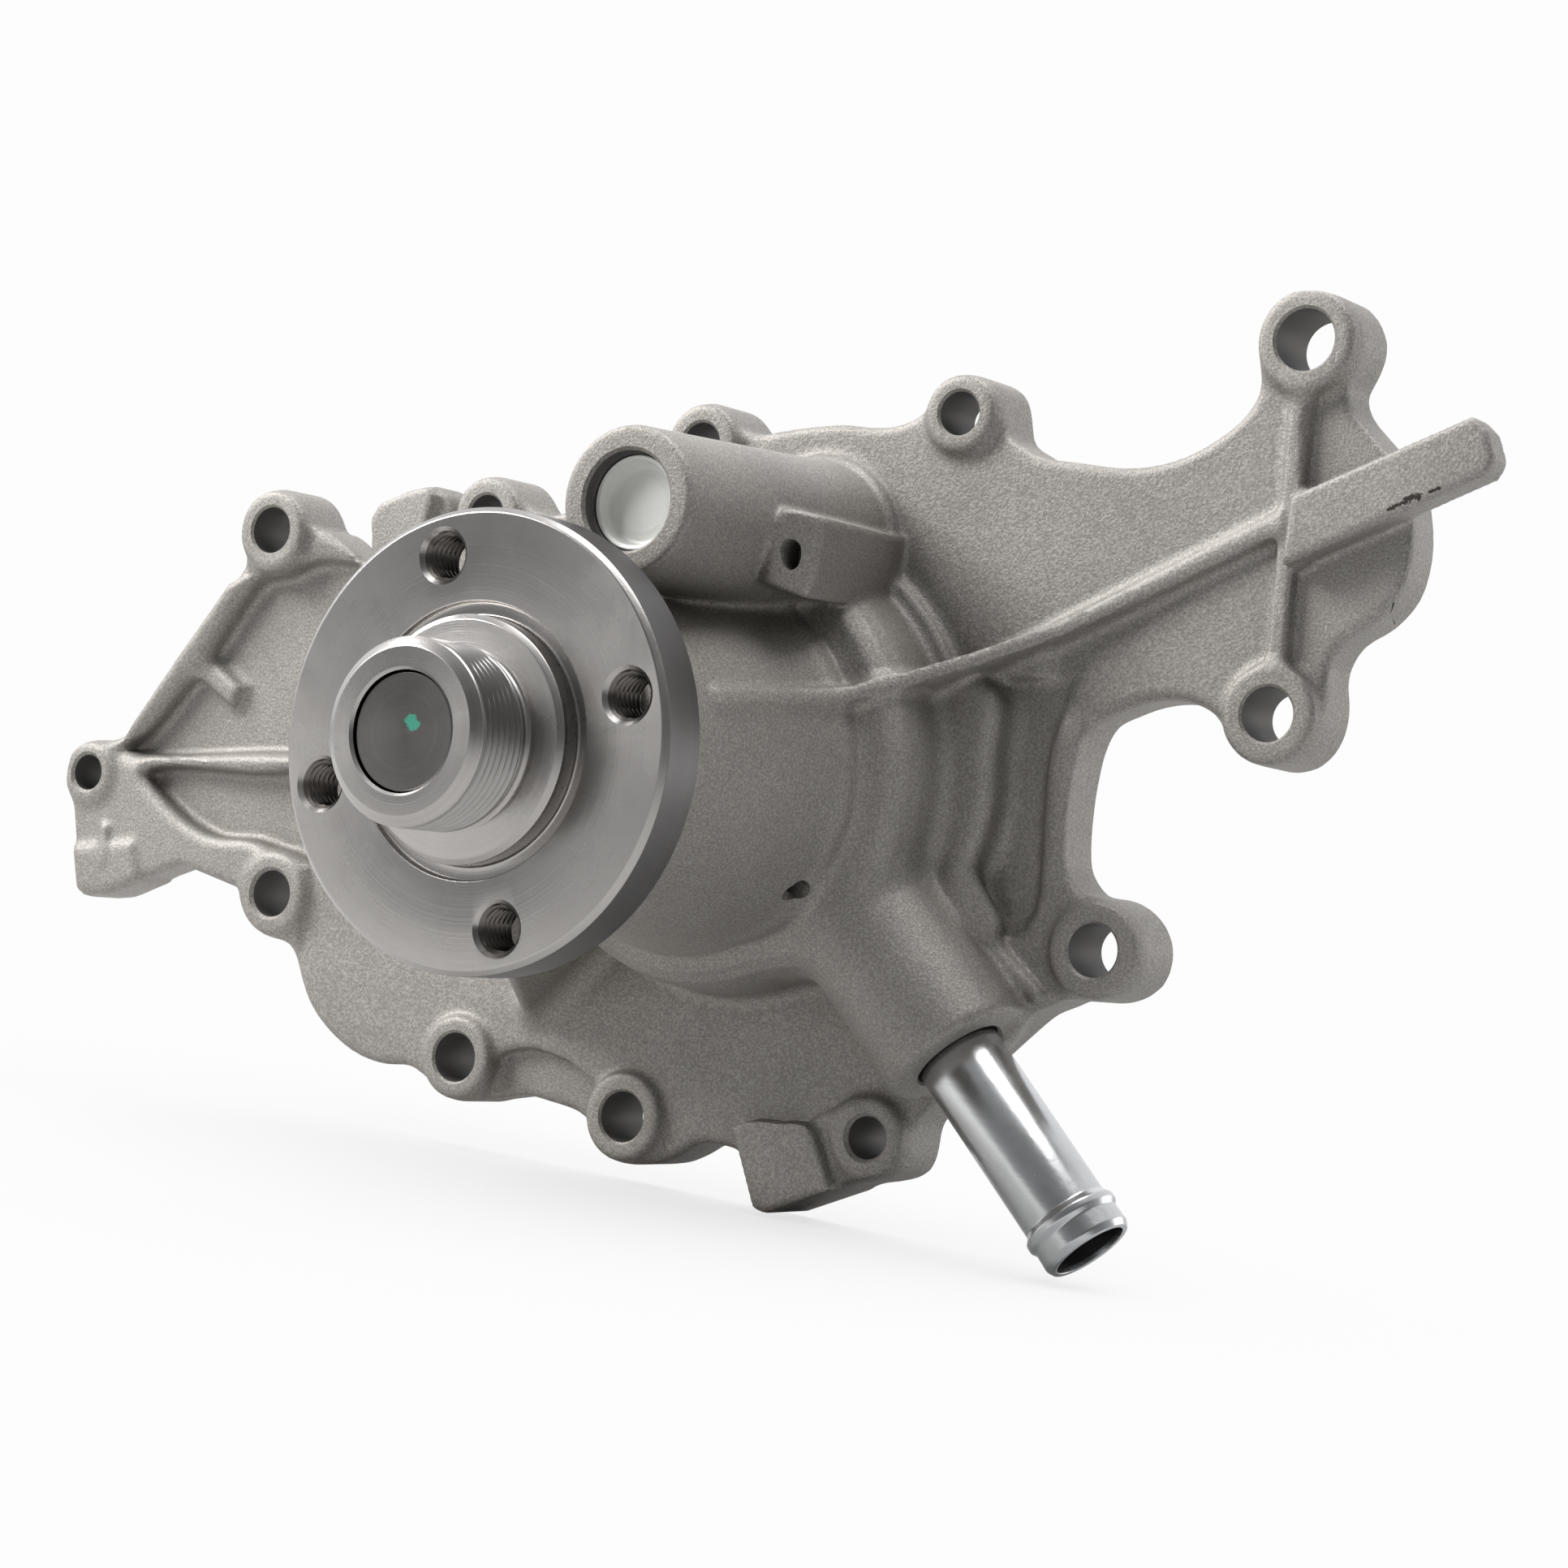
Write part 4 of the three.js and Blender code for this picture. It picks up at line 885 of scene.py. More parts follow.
def add_strokes(material, marks, colour):
    """Rubbed or scratched marks: start, end (x, y, z), half width, how broken it is."""
    g = Graph(material.node_tree)
    bsdf = g.tree.nodes["Principled BSDF"]
    at = g.coords()
    ragged = g.noise(at, scale=1500, detail=3.0, rough=0.65)
    total = None
    for start, end, width, broken in marks:
        start, end = np.array(start, float) * 0.001, np.array(end, float) * 0.001
        axis = end - start
        length = float(np.linalg.norm(axis))
        axis = tuple(axis / length)
        offset = g.vector("SUBTRACT", at, tuple(start))
        t = g.vector("DOT_PRODUCT", offset, axis, output="Value")
        t = g.math("MINIMUM", g.math("MAXIMUM", t, 0.0), length)
        near = g.node("VectorMath", {0: axis, "Scale": t}, operation="SCALE").outputs[0]
        gap = g.vector("DISTANCE", offset, near, output="Value")
        # distance in half widths, eaten away by noise
        widths = g.math("MULTIPLY", gap, 1000.0 / width)
        eaten = g.math("MULTIPLY", g.math("SUBTRACT", ragged, 0.5), broken)
        mark = g.math("SUBTRACT", 1.25, g.math("ADD", widths, eaten), clamp=True)
        total = mark if total is None else g.math("MAXIMUM", total, mark)
    paint_over(g, bsdf, g.math("MULTIPLY", total, 2.2, clamp=True), colour)


def add_paint_dot(material, centre, radius, colour):
    """An uneven blob of marking paint about a point on a face."""
    g = Graph(material.node_tree)
    bsdf = g.tree.nodes["Principled BSDF"]
    wobble = 0.0022                            # metres; half of it re-centres the noise
    at = g.coords()
    noise = g.noise(at, scale=700, detail=3.0, rough=0.6, output="Color")
    shifted = g.vector("ADD", at, g.vector("MULTIPLY", noise, (wobble,) * 3))
    middle = tuple(c * 0.001 + wobble / 2 for c in centre)
    gap = g.vector("DISTANCE", shifted, middle, output="Value")
    mask = g.ramp(g.math("MULTIPLY", gap, 1000.0 / (radius * 2)), (0.46, 1), (0.54, 0))
    paint_over(g, bsdf, mask, colour)
    g.link(g.math("SUBTRACT", 1.0, mask), bsdf.inputs["Metallic"])


CAST = cast_material("cast_aluminium_blasted", dark=(0.305, 0.290, 0.272),
                     light=(0.392, 0.376, 0.355), metallic=0.66, rough=0.60)
MILLED = turned_material("cast_aluminium_machined", colour=(0.62, 0.61, 0.59), rough=0.30,
                         aniso=0.3, rings=0.35)
# painted shade: bores and drilled holes get a much darker copy of the casting's colour for the
# shade inside them
SHADED_BORE = turned_material("cast_aluminium_bore_painted_shade", colour=(0.125, 0.121, 0.116), rough=0.58,
                        aniso=0.0, rings=0.2, metallic=0.6)
HUB_STEEL = turned_material("hub_turned_steel", colour=(0.425, 0.410, 0.398), rough=0.27,
                            aniso=0.6, rings=0.30)
# painted shade: the hub's outer rim gets a darker, rougher copy of the hub steel; its darker colour
# stands in for the shade on that side
HUB_RIM_SHADE = turned_material("hub_rim_steel_painted_shade", colour=(0.155, 0.151, 0.149), rough=0.42,
                          aniso=0.3, rings=0.5)
THREAD = turned_material("hub_thread_steel", colour=(0.36, 0.35, 0.34), rough=0.30,
                         aniso=0.0, rings=0.2)
# painted shade: the tapped holes get a much darker copy of the hub steel for the shade inside them
TAPPED_SHADE = turned_material("hub_tapped_steel_painted_shade", colour=(0.15, 0.138, 0.126), rough=0.32,
                         aniso=0.0, rings=0.1)
SHAFT_STEEL = turned_material("shaft_ground_steel", colour=(0.145, 0.142, 0.138), rough=0.36,
                              aniso=0.2, rings=0.15, tint=0.10)
# painted light: the plug's colour is pushed near white and kept barely metallic so the recessed
# plug looks lit; its faint green tint is the plating's own
ZINC_LIGHTENED = plated_material("zinc_plated_steel", colour=(0.955, 0.98, 0.93), rough=0.42,
                       metallic=0.12, scratch=0.15, mottle=0.07, tint=(1.0, 1.02, 0.98))
NICKEL = plated_material("bright_nickel_plate", colour=(0.66, 0.67, 0.68), rough=0.25,
                         scratch=0.7, mottle=0.06)
# painted shade: the nipple's bore gets a near-black copy of the plating for the shade inside the
# tube
NICKEL_BORE_SHADE = plated_material("nickel_tube_bore_painted_shade", colour=(0.10, 0.10, 0.10), rough=0.5,
                              scratch=0.2, mottle=0.2)
BEARING = plated_material("bearing_steel", colour=(0.56, 0.56, 0.55), rough=0.18,
                          scratch=0.1, mottle=0.05)
CAGE = soft_material("cage_polymer", colour=(0.60, 0.50, 0.30), rough=0.5)
RUBBER = soft_material("black_rubber", colour=(0.016, 0.016, 0.015), rough=0.62, strength=0.4)
BRASS = plated_material("drawn_brass", colour=(0.62, 0.42, 0.17), rough=0.30,
                        scratch=0.2, mottle=0.10)
SPRING = plated_material("spring_wire", colour=(0.50, 0.50, 0.49), rough=0.25,
                         scratch=0.3, mottle=0.06)
CARBON = soft_material("carbon_face", colour=(0.022, 0.023, 0.025), rough=0.35,
                       strength=0.15, metallic=0.2)
CERAMIC = soft_material("ceramic_seat_white", colour=(0.78, 0.75, 0.66), rough=0.22,
                        strength=0.05, spread=0.04)
IRON = cast_material("impeller_cast_iron", dark=(0.13, 0.122, 0.112),
                     light=(0.235, 0.222, 0.205), metallic=0.75, rough=0.52, grain=1.4, stain=0.5)

# start, end, half width, how broken
add_strokes(CAST, [
    ((116.2, -15.5, 57.3), (118.6, -15.5, 58.5), 0.34, 5.0),
    ((118.8, -15.5, 58.9), (121.0, -15.5, 59.8), 0.52, 5.0),
    ((122.8, -15.5, 60.6), (124.0, -15.5, 61.2), 0.34, 4.0),
    ((117.2, -9.9, 43.7), (115.3, -7.2, 41.4), 0.20, 1.2),
    ((115.3, -7.2, 41.4), (114.2, -2.0, 40.0), 0.16, 1.6),
    ((103.6, -9.6, 83.4), (103.4, -9.2, 80.4), 0.22, 2.0),
], colour=(0.05, 0.042, 0.036))
add_paint_dot(SHAFT_STEEL, centre=(1.5, SHAFT_FRONT_Y, 1.5), radius=1.3,
              colour=(0.045, 0.30, 0.215))


# ---------------------------------------------------------------- the cast housing
def add_plate(f):
    """Main plate with its raised, pocketed left wing and the lower levels."""
    # cast a little past the gasket plane and milled back later
    f.prism(smooth_loop(OUTLINE, 420), PLATE_Y, 2.5, edge=1.5, fillet=0)
    f.prism(LEFT_WING, -12.0, -3, edge=1.3, fillet=1.2)
    for pocket, fillet in ((UPPER_POCKET, 4.0), (LOWER_POCKET, 2.6)):
        f.prism(smooth_loop(pocket, 60), POCKET_Y, WEB_Y, edge=1.6, fillet=fillet, cut=True)
    f.prism(CROSS_RIB, -9.6, -5, edge=1.2, fillet=3.0)
    f.prism(RIGHT_WING, POCKET_Y, WING_Y, edge=0.8, fillet=1.6, cut=True)
    f.prism(NOTCH_STRIP, POCKET_Y, -9.6, edge=1.5, fillet=2.8, cut=True)
    f.prism(NOTCH_EDGE, POCKET_Y, -9.3, edge=1.0, fillet=1.8, cut=True)
    f.prism(LOWER_STEP, POCKET_Y, -8.4, edge=0.8, fillet=1.4, cut=True)


def add_pads(f):
    """Pads and ribs standing on the plate."""
    f.prism(TOP_PAD, BOSS_Y, -2, edge=1.0, fillet=1.6)
    f.prism(BOTTOM_PAD, BOSS_Y - 1.4, 2.5, edge=0.8, fillet=0.6)
    f.prism(BOTTOM_TAB, BOSS_Y + 0.9, 2.5, edge=0.8, fillet=1.6)
    f.prism(LEFT_PAD, BOSS_Y + 0.3, -2, edge=1.0, fillet=2.6)
    f.prism(LEFT_RIDGE, -13.0, -9, edge=0.6, fillet=1.6)
    f.prism(UPRIGHT_RIB, -12.0, -6, edge=0.7, fillet=1.5)
    f.prism(BAR, -15.6, -8.5, edge=0.9, fillet=1.2)


def add_snout(f):
    """Bearing snout with its ring step and dome, an arc-shaped step and the volute shoulder."""
    f.turned(SNOUT_PROFILE, edge=0.9, fillet=3.0, flatten=4.5)
    arc = [(math.cos(rad(a)), math.sin(rad(a))) for a in np.linspace(24, 82, 18)]
    f.prism([(45.9 * c, 45.9 * s) for c, s in arc] + [(39 * c, 39 * s) for c, s in arc[::-1]],
            -13.2, -4, edge=0.9, fillet=2.6)
    f.prism(smooth_loop(SHOULDER, 90), -16.8, -4, edge=2.4, fillet=3.2)


def add_passage(f):
    """Passage boss that carries the nipple, and two short ridges beside the shoulder."""
    def outline(*points):
        """Polygon from (distance back from the nipple, sideways) pairs."""
        centre, ahead = NIPPLE_AT[[0, 2]], NIPPLE_DIR[[0, 2]]
        sideways = np.array([-NIPPLE_DIR[2], NIPPLE_DIR[0]])
        return [centre - back * ahead + side * sideways for back, side in points]

    f.along([(0, -46), (NIPPLE_BOSS_R + 0.6, -46), (NIPPLE_BOSS_R, -20), (NIPPLE_BOSS_R, -4.5),
             (NIPPLE_BOSS_R - 0.9, -3.5), (0, -3.5)], NIPPLE_AT, NIPPLE_DIR, fillet=3.4, clip_y=1.0)
    f.prism(outline((44, 12.4), (44, -12.4), (7.6, -12), (7.6, 12)),
            -18.5, -5, edge=1.2, fillet=3.0)
    f.prism(outline((26, 12.4), (26, -4), (8.4, -4), (8.4, 13.2)),
            -12.2, -5, edge=0.8, fillet=5.0)
    f.stick((47.6, -14.6, -11.6), (53.2, -13.0, -18.6), radius=2.2, fillet=3.0)
    f.stick((52.8, -12.4, -21.4), (63.4, -11.9, -29.4), radius=1.1, fillet=1.6)


def add_tube(f):
    """Passage tube with a low collar round its foot, and the lug on its flank."""
    at = (TUBE_X, TUBE_Z)
    f.turned([(0, TUBE_Y), (TUBE_R - 0.5, TUBE_Y), (TUBE_R, TUBE_Y + 0.5), (TUBE_FOOT_R, -20),
              (TUBE_FOOT_R + 0.8, -8), (TUBE_FOOT_R + 0.8, 0), (0, 0)],
             edge=0.5, fillet=3.2, at=at)
    f.turned([(0, -13.8), (TUBE_FOOT_R + 1.0, -13.8), (TUBE_FOOT_R + 1.3, -13.2),
              (TUBE_FOOT_R + 1.4, 0), (0, 0)], edge=0.5, fillet=1.0, at=at)
    f.hull(LUG, edge=0.9, fillet=1.2)


def cut_back(f):
    """Coolant recess inside the gasket land, and the pump chamber."""
    f.prism(smooth_loop(RECESS, 220), -LAND_DEPTH, 6, edge=1.2, fillet=1.2, cut=True, pad=4)
    f.turned([(0, CHAMBER_Y), (CHAMBER_R - 2.5, CHAMBER_Y), (CHAMBER_R, CHAMBER_Y + 2.5),
              (CHAMBER_R, 6), (0, 6)], edge=0, fillet=1.0, cut=True)


def housing_field():
    f = Field((-163.5, -82.0, -77.5), (135.5, 3.2, 95.5), GRID_STEP)
    add_plate(f)
    add_pads(f)
    add_snout(f)
    add_passage(f)
    add_tube(f)
    f.slab(RIB_PROFILE, RIB_ANGLE, -RIB_WIDTH, 0.0, edge=0.45, fillet=2.6)
    f.slab(GUSSET_PROFILE, -130, -1.7, 1.7, edge=1.2, fillet=5.0)
    cut_back(f)
    for x, z, radius, _, _, fillet in BOSSES:
        f.turned([(0, BOSS_Y), (radius, BOSS_Y), (radius + 0.25, 2.5), (0, 2.5)],
                 edge=0.95, fillet=fillet, at=(x, z))
    # the fillets of the two outermost bosses stay within the casting's overall size
    f.distance = smooth_max(f.distance, (-160.4 - f.axes[0])[:, None, None], 1.2)
    f.distance = smooth_max(f.distance, (f.axes[2] - 92.7)[None, None, :], 1.2)
    return f


def bolt_hole(x, z, radius, taper):
    """Cored hole that narrows towards the gasket plane, with a chamfer at each end."""
    return revolve([
        (0, BOSS_Y - 4), (radius + 4.45, BOSS_Y - 4), (radius + 0.45, BOSS_Y),
        (radius, BOSS_Y + 0.45), (radius - taper, -0.35), (radius - taper + 0.35, 0.0),
        (radius - taper + 4.35, 4), (0, 4)], 48, origin=(x, 0, z))


def snout_bore():
    """Bearing seat, seal bore and the opening into the chamber."""
    seat = RACE_R + FIT
    return revolve([
        (0, SNOUT_Y - 6), (seat + 6.9, SNOUT_Y - 6), (seat + 0.9, SNOUT_Y),
        (seat, SNOUT_Y + 0.9), (seat, RACE_BACK_Y + 0.15), (17.4, RACE_BACK_Y + 0.15),
        (17.4, SEAL_Y), (SEAL_BORE, SEAL_Y), (SEAL_BORE, CHAMBER_Y + 3),
        (20.9, CHAMBER_Y + 3), (20.9, CHAMBER_Y + 6), (0, CHAMBER_Y + 6)], 128)


def tube_bore():
    return revolve([
        (0, TUBE_Y - 6), (TUBE_BORE + 6.9, TUBE_Y - 6), (TUBE_BORE + 0.9, TUBE_Y),
        (TUBE_BORE + 0.35, TUBE_Y + 0.5), (TUBE_BORE + 0.35, TUBE_Y + 2.2),
        (TUBE_BORE, TUBE_Y + 2.6), (TUBE_BORE, TUBE_Y + 12), (6.4, TUBE_Y + 13),
        (6.4, 1.0), (0, 1.0)], 72, origin=(TUBE_X, 0, TUBE_Z))


def nipple_bore():
    seat_end = -NIPPLE_DEPTH - 0.4
    return revolve([
        (0, -41), (NIPPLE_R - 1.6, -41), (NIPPLE_R - 1.6, seat_end), (NIPPLE_R + FIT, seat_end),
        (NIPPLE_R + FIT, -5.6), (NIPPLE_R + 0.38, -5.1), (NIPPLE_R + 0.44, -3.9),
        (NIPPLE_R + 0.9, -3.45), (NIPPLE_R + 3.4, -1.0), (0, -1.0)],
        72, origin=NIPPLE_AT, axis=NIPPLE_DIR)


def cut_weep_hole(housing):
    """Round hole into the bore behind the bearing, its mouth drawn out into a shallow ramp."""
    angle, ramp_tilt = rad(-32.5), rad(32)
    radial = np.array([math.cos(angle), 0, math.sin(angle)])
    tangent = np.array([-math.sin(angle), 0, math.cos(angle)])
    cut(housing, [revolve([(0, 14), (1.8, 14), (1.8, 40), (0, 40)], 40,
                          origin=np.array([0, -35.2, 0]) + tangent * 0.7, axis=radial)])
    downhill = -(0.71 * np.array([0, 1.0, 0]) + 0.70 * tangent)
    mouth = radial * 32.9 + np.array([0, -36.2, 0]) - tangent * 0.3
    outward = radial * math.sin(ramp_tilt) + downhill * math.cos(ramp_tilt)
    cut(housing, [revolve([(0, -4.0), (0.8, -3.6), (1.5, -2.4), (1.5, 7), (0, 7)], 32,
                          origin=mouth, axis=outward)])


def housing_materials(housing):
    """Material index per face: 0 cast, 1 machined flat, 2 bored or drilled, darkened as painted
    shade.
    """
    centres = face_values(housing, "center") * 1000
    normals = face_values(housing, "normal")
    y, facing = centres[:, 1], normals[:, 1]
    rho = np.hypot(centres[:, 0], centres[:, 2])

    def hole(x, z):
        """Distance from a hole's axis, and how far the face looks towards it."""
        dx, dz = centres[:, 0] - x, centres[:, 2] - z
        gap = np.hypot(dx, dz)
        return gap, -(dx * normals[:, 0] + dz * normals[:, 2]) / np.maximum(gap, 1e-6)

    index = np.zeros(len(centres), np.int32)
    index[(np.abs(y) < 0.02) & (facing > 0.99)] = 1
    index[(np.abs(y - SNOUT_Y) < 0.06) & (facing < -0.99) & (rho < 30)] = 1
    index[(rho < 21.2) & (y < CHAMBER_Y + 3.2)] = 2
    for x, z, _, radius, _, _ in BOSSES:
        gap, inward = hole(x, z)
        index[(gap < radius + 0.12) & (inward > 0.85)] = 2
    gap, inward = hole(TUBE_X, TUBE_Z)
    index[(gap < TUBE_BORE + 0.42) & (inward > 0.5) & (y > TUBE_Y + 0.3) & (y < -10)] = 2
    t, gap = nipple_distances(centres)
    index[(gap < NIPPLE_R + 0.46) & (t < -3.6) & (t > -41)] = 2
    return index


def nipple_distances(points):
    """Distance along the nipple's axis and distance from it."""
    offset = points - NIPPLE_AT
    t = offset @ NIPPLE_DIR
    return t, np.linalg.norm(offset - t[:, None] * NIPPLE_DIR, axis=1)


def build_housing():
    housing = make_object("housing_cast", *housing_field().mesh())
    bm = bmesh.new()
    bm.from_mesh(housing.data)
    bmesh.ops.triangulate(bm, faces=bm.faces, quad_method="SHORT_EDGE")
    bm.to_mesh(housing.data)
    bm.free()
    decimate = housing.modifiers.new("dec", "DECIMATE")
    decimate.ratio = min(1.0, HOUSING_FACES / max(1, len(housing.data.polygons)))
    apply_modifiers(housing)
    # gasket plane, then the snout face, are milled flat
    cut(housing, [prism_mesh([(-200, -120), (200, -120), (200, 120), (-200, 120)], 0.0, 12.0)])
    cut(housing, [prism_mesh([(-60, -60), (60, -60), (60, 29.2), (-60, 29.2)],
                             -90.0, SNOUT_Y + 0.02)])
    holes = [bolt_hole(x, z, radius, taper) for x, z, _, radius, taper, _ in BOSSES]
    cut(housing, holes + [snout_bore(), tube_bore()])
    cut(housing, [nipple_bore()])
    cut_weep_hole(housing)
    cut(housing, [prism_mesh(smooth_loop(LUG_SLOT, 45), -60, -42.5)])
    finish(housing, (CAST, MILLED, SHADED_BORE), "pump", "pump_housing",
           angle=34, indices=housing_materials(housing))


build_housing()


# ---------------------------------------------------------------- fan hub
def thread_shape(phase):
    """0 at the crest, 1 at the root, for a 60 degree thread with small flats."""
    triangle = np.abs(2 * (phase - np.floor(phase)) - 1)
    return np.clip((1 - triangle) * 1.35 - 0.12, 0, 1)


def nose_thread(r, y, theta):
    threaded = ((np.abs(r - NOSE_R) < 0.01) & (y > THREAD_FRONT_Y - 0.01)
                & (y < THREAD_BACK_Y + 0.01))
    fade = np.clip((y - THREAD_FRONT_Y) / 1.2, 0, 1) * np.clip((THREAD_BACK_Y - y) / 0.8, 0, 1)
    depth = 0.88 * fade * thread_shape(y / NOSE_PITCH + theta / (2 * math.pi))
    return np.where(threaded, r - depth, r)


def stud_thread(r, y, theta):
    """Thread with a countersink at both faces of the hub."""
    thread = 3.98 - 0.60 * thread_shape(y / STUD_PITCH + theta / (2 * math.pi))
    mouth = STUD_MOUTH_R - (y - HUB_FACE_Y) * 1.0
    back = 4.3 + (y - HUB_BACK_Y) * 1.0
    return np.maximum(np.where(r > 1, thread, r), np.maximum(mouth, back))


def stud_tap(x, z):
    ys = np.arange(HUB_FACE_Y - 1.5, HUB_BACK_Y + 1.5, STUD_PITCH / 8)
    profile = [(0, ys[0])] + [(3.4, y) for y in ys] + [(0, ys[-1])]
    return revolve(profile, 48, stud_thread, origin=(x, 0, z))


def build_hub():
    bore, shoulder = SHAFT_R + FIT, NOSE_R - 0.95
    profile = rounded([
        (bore, HUB_BACK_Y + 3), (NOSE_BORE, -100), (NOSE_BORE, -100.6),
        (NOSE_BORE, NOSE_Y + 0.45), (NOSE_BORE + 0.45, NOSE_Y), (NOSE_R - 1.7, NOSE_Y, 0.4),
        (NOSE_R - 0.15, NOSE_Y + 1.2, 0.3), (NOSE_R, THREAD_FRONT_Y)])
    rows = np.linspace(THREAD_FRONT_Y, THREAD_BACK_Y, THREAD_ROWS)
    profile += [(NOSE_R, y) for y in rows[1:]]
    profile += rounded([
        (NOSE_R, THREAD_BACK_Y + 0.1), (shoulder, -100.6, 0.3), (shoulder, -98.9, 0.9),
        (PILOT_R - 0.9, -98.15, 0.35), (PILOT_R, -97.3, 0.35),
        (PILOT_R, HUB_FACE_Y + 1.4, 0.45), (22.35, HUB_FACE_Y + 1.4, 0.5),
        (22.35, HUB_FACE_Y, 0.25), (HUB_R - 0.9, HUB_FACE_Y, 0.5),
        (HUB_R, HUB_FACE_Y + 0.9, 0.5), (HUB_R, HUB_BACK_Y - 0.7, 0.3),
        (HUB_R - 0.7, HUB_BACK_Y, 0.3), (17.6, HUB_BACK_Y, 0.8), (16, HUB_BACK_Y + 3, 0.4),
        (bore, HUB_BACK_Y + 3)])[:-1]
    hub = make_object("fan_hub", *revolve(profile, HUB_SEGMENTS, nose_thread))
    cut(hub, [stud_tap(x, z) for x, z in STUDS])
    x, y, z = (face_values(hub, "center") * 1000).T
    rho = np.hypot(x, z)
    index = np.zeros(len(rho), np.int32)
    # the rim takes the darker steel, painted shade on the flange's side
    index[(rho > HUB_R - 0.06) & (y > HUB_FACE_Y + 0.9)] = 1
    index[(rho > NOSE_R - 1.2) & (rho < NOSE_R + 0.02)
          & (y < THREAD_BACK_Y) & (y > THREAD_FRONT_Y)] = 2
    # tapped holes take the darker steel, painted shade inside them
    for stud_x, stud_z in STUDS:
        index[np.hypot(x - stud_x, z - stud_z) < 4.05] = 3
    finish(hub, (HUB_STEEL, HUB_RIM_SHADE, THREAD, TAPPED_SHADE), "rotor", "hub_flange",
           angle=30, indices=index)


build_hub()


# ---------------------------------------------------------------- shaft, plug, nipple
def ball_groove(side):
    """Arc of the ball track: side -1 on the shaft, side 1 in the outer ring."""
    radius = BALL_R + GROOVE_GAP
    arc = [(BALL_PITCH_R + side * radius * math.cos(rad(a)), BALL_Y + radius * math.sin(rad(a)))
           for a in np.linspace(side * 50, -side * 50, 21)]
    if side < 0:
        return [p for p in arc if p[0] < SHAFT_R - 0.01]
    return [p for p in arc if p[0] > RACE_BORE + 0.01]


def build_shaft():
    profile = rounded([(0, SHAFT_FRONT_Y), (SHAFT_R - 0.35, SHAFT_FRONT_Y, 0.12),
                       (SHAFT_R, SHAFT_FRONT_Y + 0.35, 0.12)])
    profile += ball_groove(-1)
    profile += rounded([
        (SHAFT_R, SHAFT_STEP_Y - 1), (TAIL_R, SHAFT_STEP_Y), (TAIL_R, SHAFT_BACK_Y - 0.6, 0.2),
        (TAIL_R - 0.6, SHAFT_BACK_Y, 0.2), (2.4, SHAFT_BACK_Y), (0.2, SHAFT_BACK_Y - 2.4),
        (0, SHAFT_BACK_Y - 2.4)])
    turned_part("shaft", profile, 96, "rotor", "pump_shaft", SHAFT_STEEL)


def build_plug():
    outer = TUBE_BORE - FIT
    profile = rounded([
        (0, TUBE_Y + 4.9), (4.6, TUBE_Y + 5.0, 0.5), (outer - 1.1, TUBE_Y + 5.5, 0.9),
        (outer - 0.85, TUBE_Y + 2.9, 0.25), (outer, TUBE_Y + 2.6, 0.25),
        (outer, TUBE_Y + 8.1, 0.8), (0, TUBE_Y + 8.0)], 8)
    # the plug takes the lightened zinc, painted light in its recess
    turned_part("cup_plug", profile, 96, "pump", "core_plug", ZINC_LIGHTENED,
                origin=(TUBE_X, 0, TUBE_Z))


def build_nipple():
    outer, inner = NIPPLE_R, NIPPLE_R - NIPPLE_WALL
    profile = rounded([
        (inner, -NIPPLE_DEPTH), (outer - 0.5, -NIPPLE_DEPTH), (outer, -NIPPLE_DEPTH + 0.8),
        (outer, 29.5, 0.7), (outer + 0.9, 30.7, 0.7), (outer + 0.9, 31.8, 0.6),
        (outer + 0.3, 32.7, 0.6), (outer + 0.42, 35.8, 0.9), (outer - 0.15, 36.9, 0.5),
        (outer - 0.5, 37.0, 0.2), (inner + 0.05, 36.9, 0.2), (inner, 36.0, 0.3)], 8)
    nipple = make_object("hose_stub", *revolve(profile, 128, origin=NIPPLE_AT, axis=NIPPLE_DIR))
    t, gap = nipple_distances(face_values(nipple, "center") * 1000)
    # the bore takes the dark material, painted shade inside the tube
    finish(nipple, (NICKEL, NICKEL_BORE_SHADE), "pump", "hose_nipple",
           indices=((gap < inner + 0.03) & (t < 36.2)).astype(np.int32))


build_shaft()
build_plug()
build_nipple()


# ---------------------------------------------------------------- shaft bearing
def build_race():
    profile = rounded([(RACE_BORE, RACE_FRONT_Y, 0.2), (RACE_R, RACE_FRONT_Y, 0.6),
                       (RACE_R, RACE_BACK_Y, 0.6), (RACE_BORE, RACE_BACK_Y, 0.2)])
    turned_part("bearing_race", profile + ball_groove(1), 128, "pump",
                "bearing_outer_ring", BEARING)


def build_balls():
    profile = [(BALL_R * math.sin(t), -BALL_R * math.cos(t)) for t in np.linspace(0, math.pi, 25)]
    profile[0], profile[-1] = (0, -BALL_R), (0, BALL_R)
    for i in range(BALLS):
        x, z = around(BALL_PITCH_R, 360 / BALLS * i)
        turned_part(f"ball_{i + 1}", profile, 48, "ball_set",
                    f"bearing_ball_{i + 1}", BEARING, origin=(x, BALL_Y, z))


def build_rollers():
    profile = rounded([(0, ROLLER_FRONT_Y), (ROLLER_R, ROLLER_FRONT_Y, 0.4),
                       (ROLLER_R, ROLLER_BACK_Y, 0.4), (0, ROLLER_BACK_Y)], 4)
    for i in range(ROLLERS):
        x, z = around(ROLLER_PITCH_R, 360 / ROLLERS * i)
        turned_part(f"roller_{i + 1}", profile, 40, "roller_set",
                    f"bearing_roller_{i + 1}", BEARING, origin=(x, 0, z))


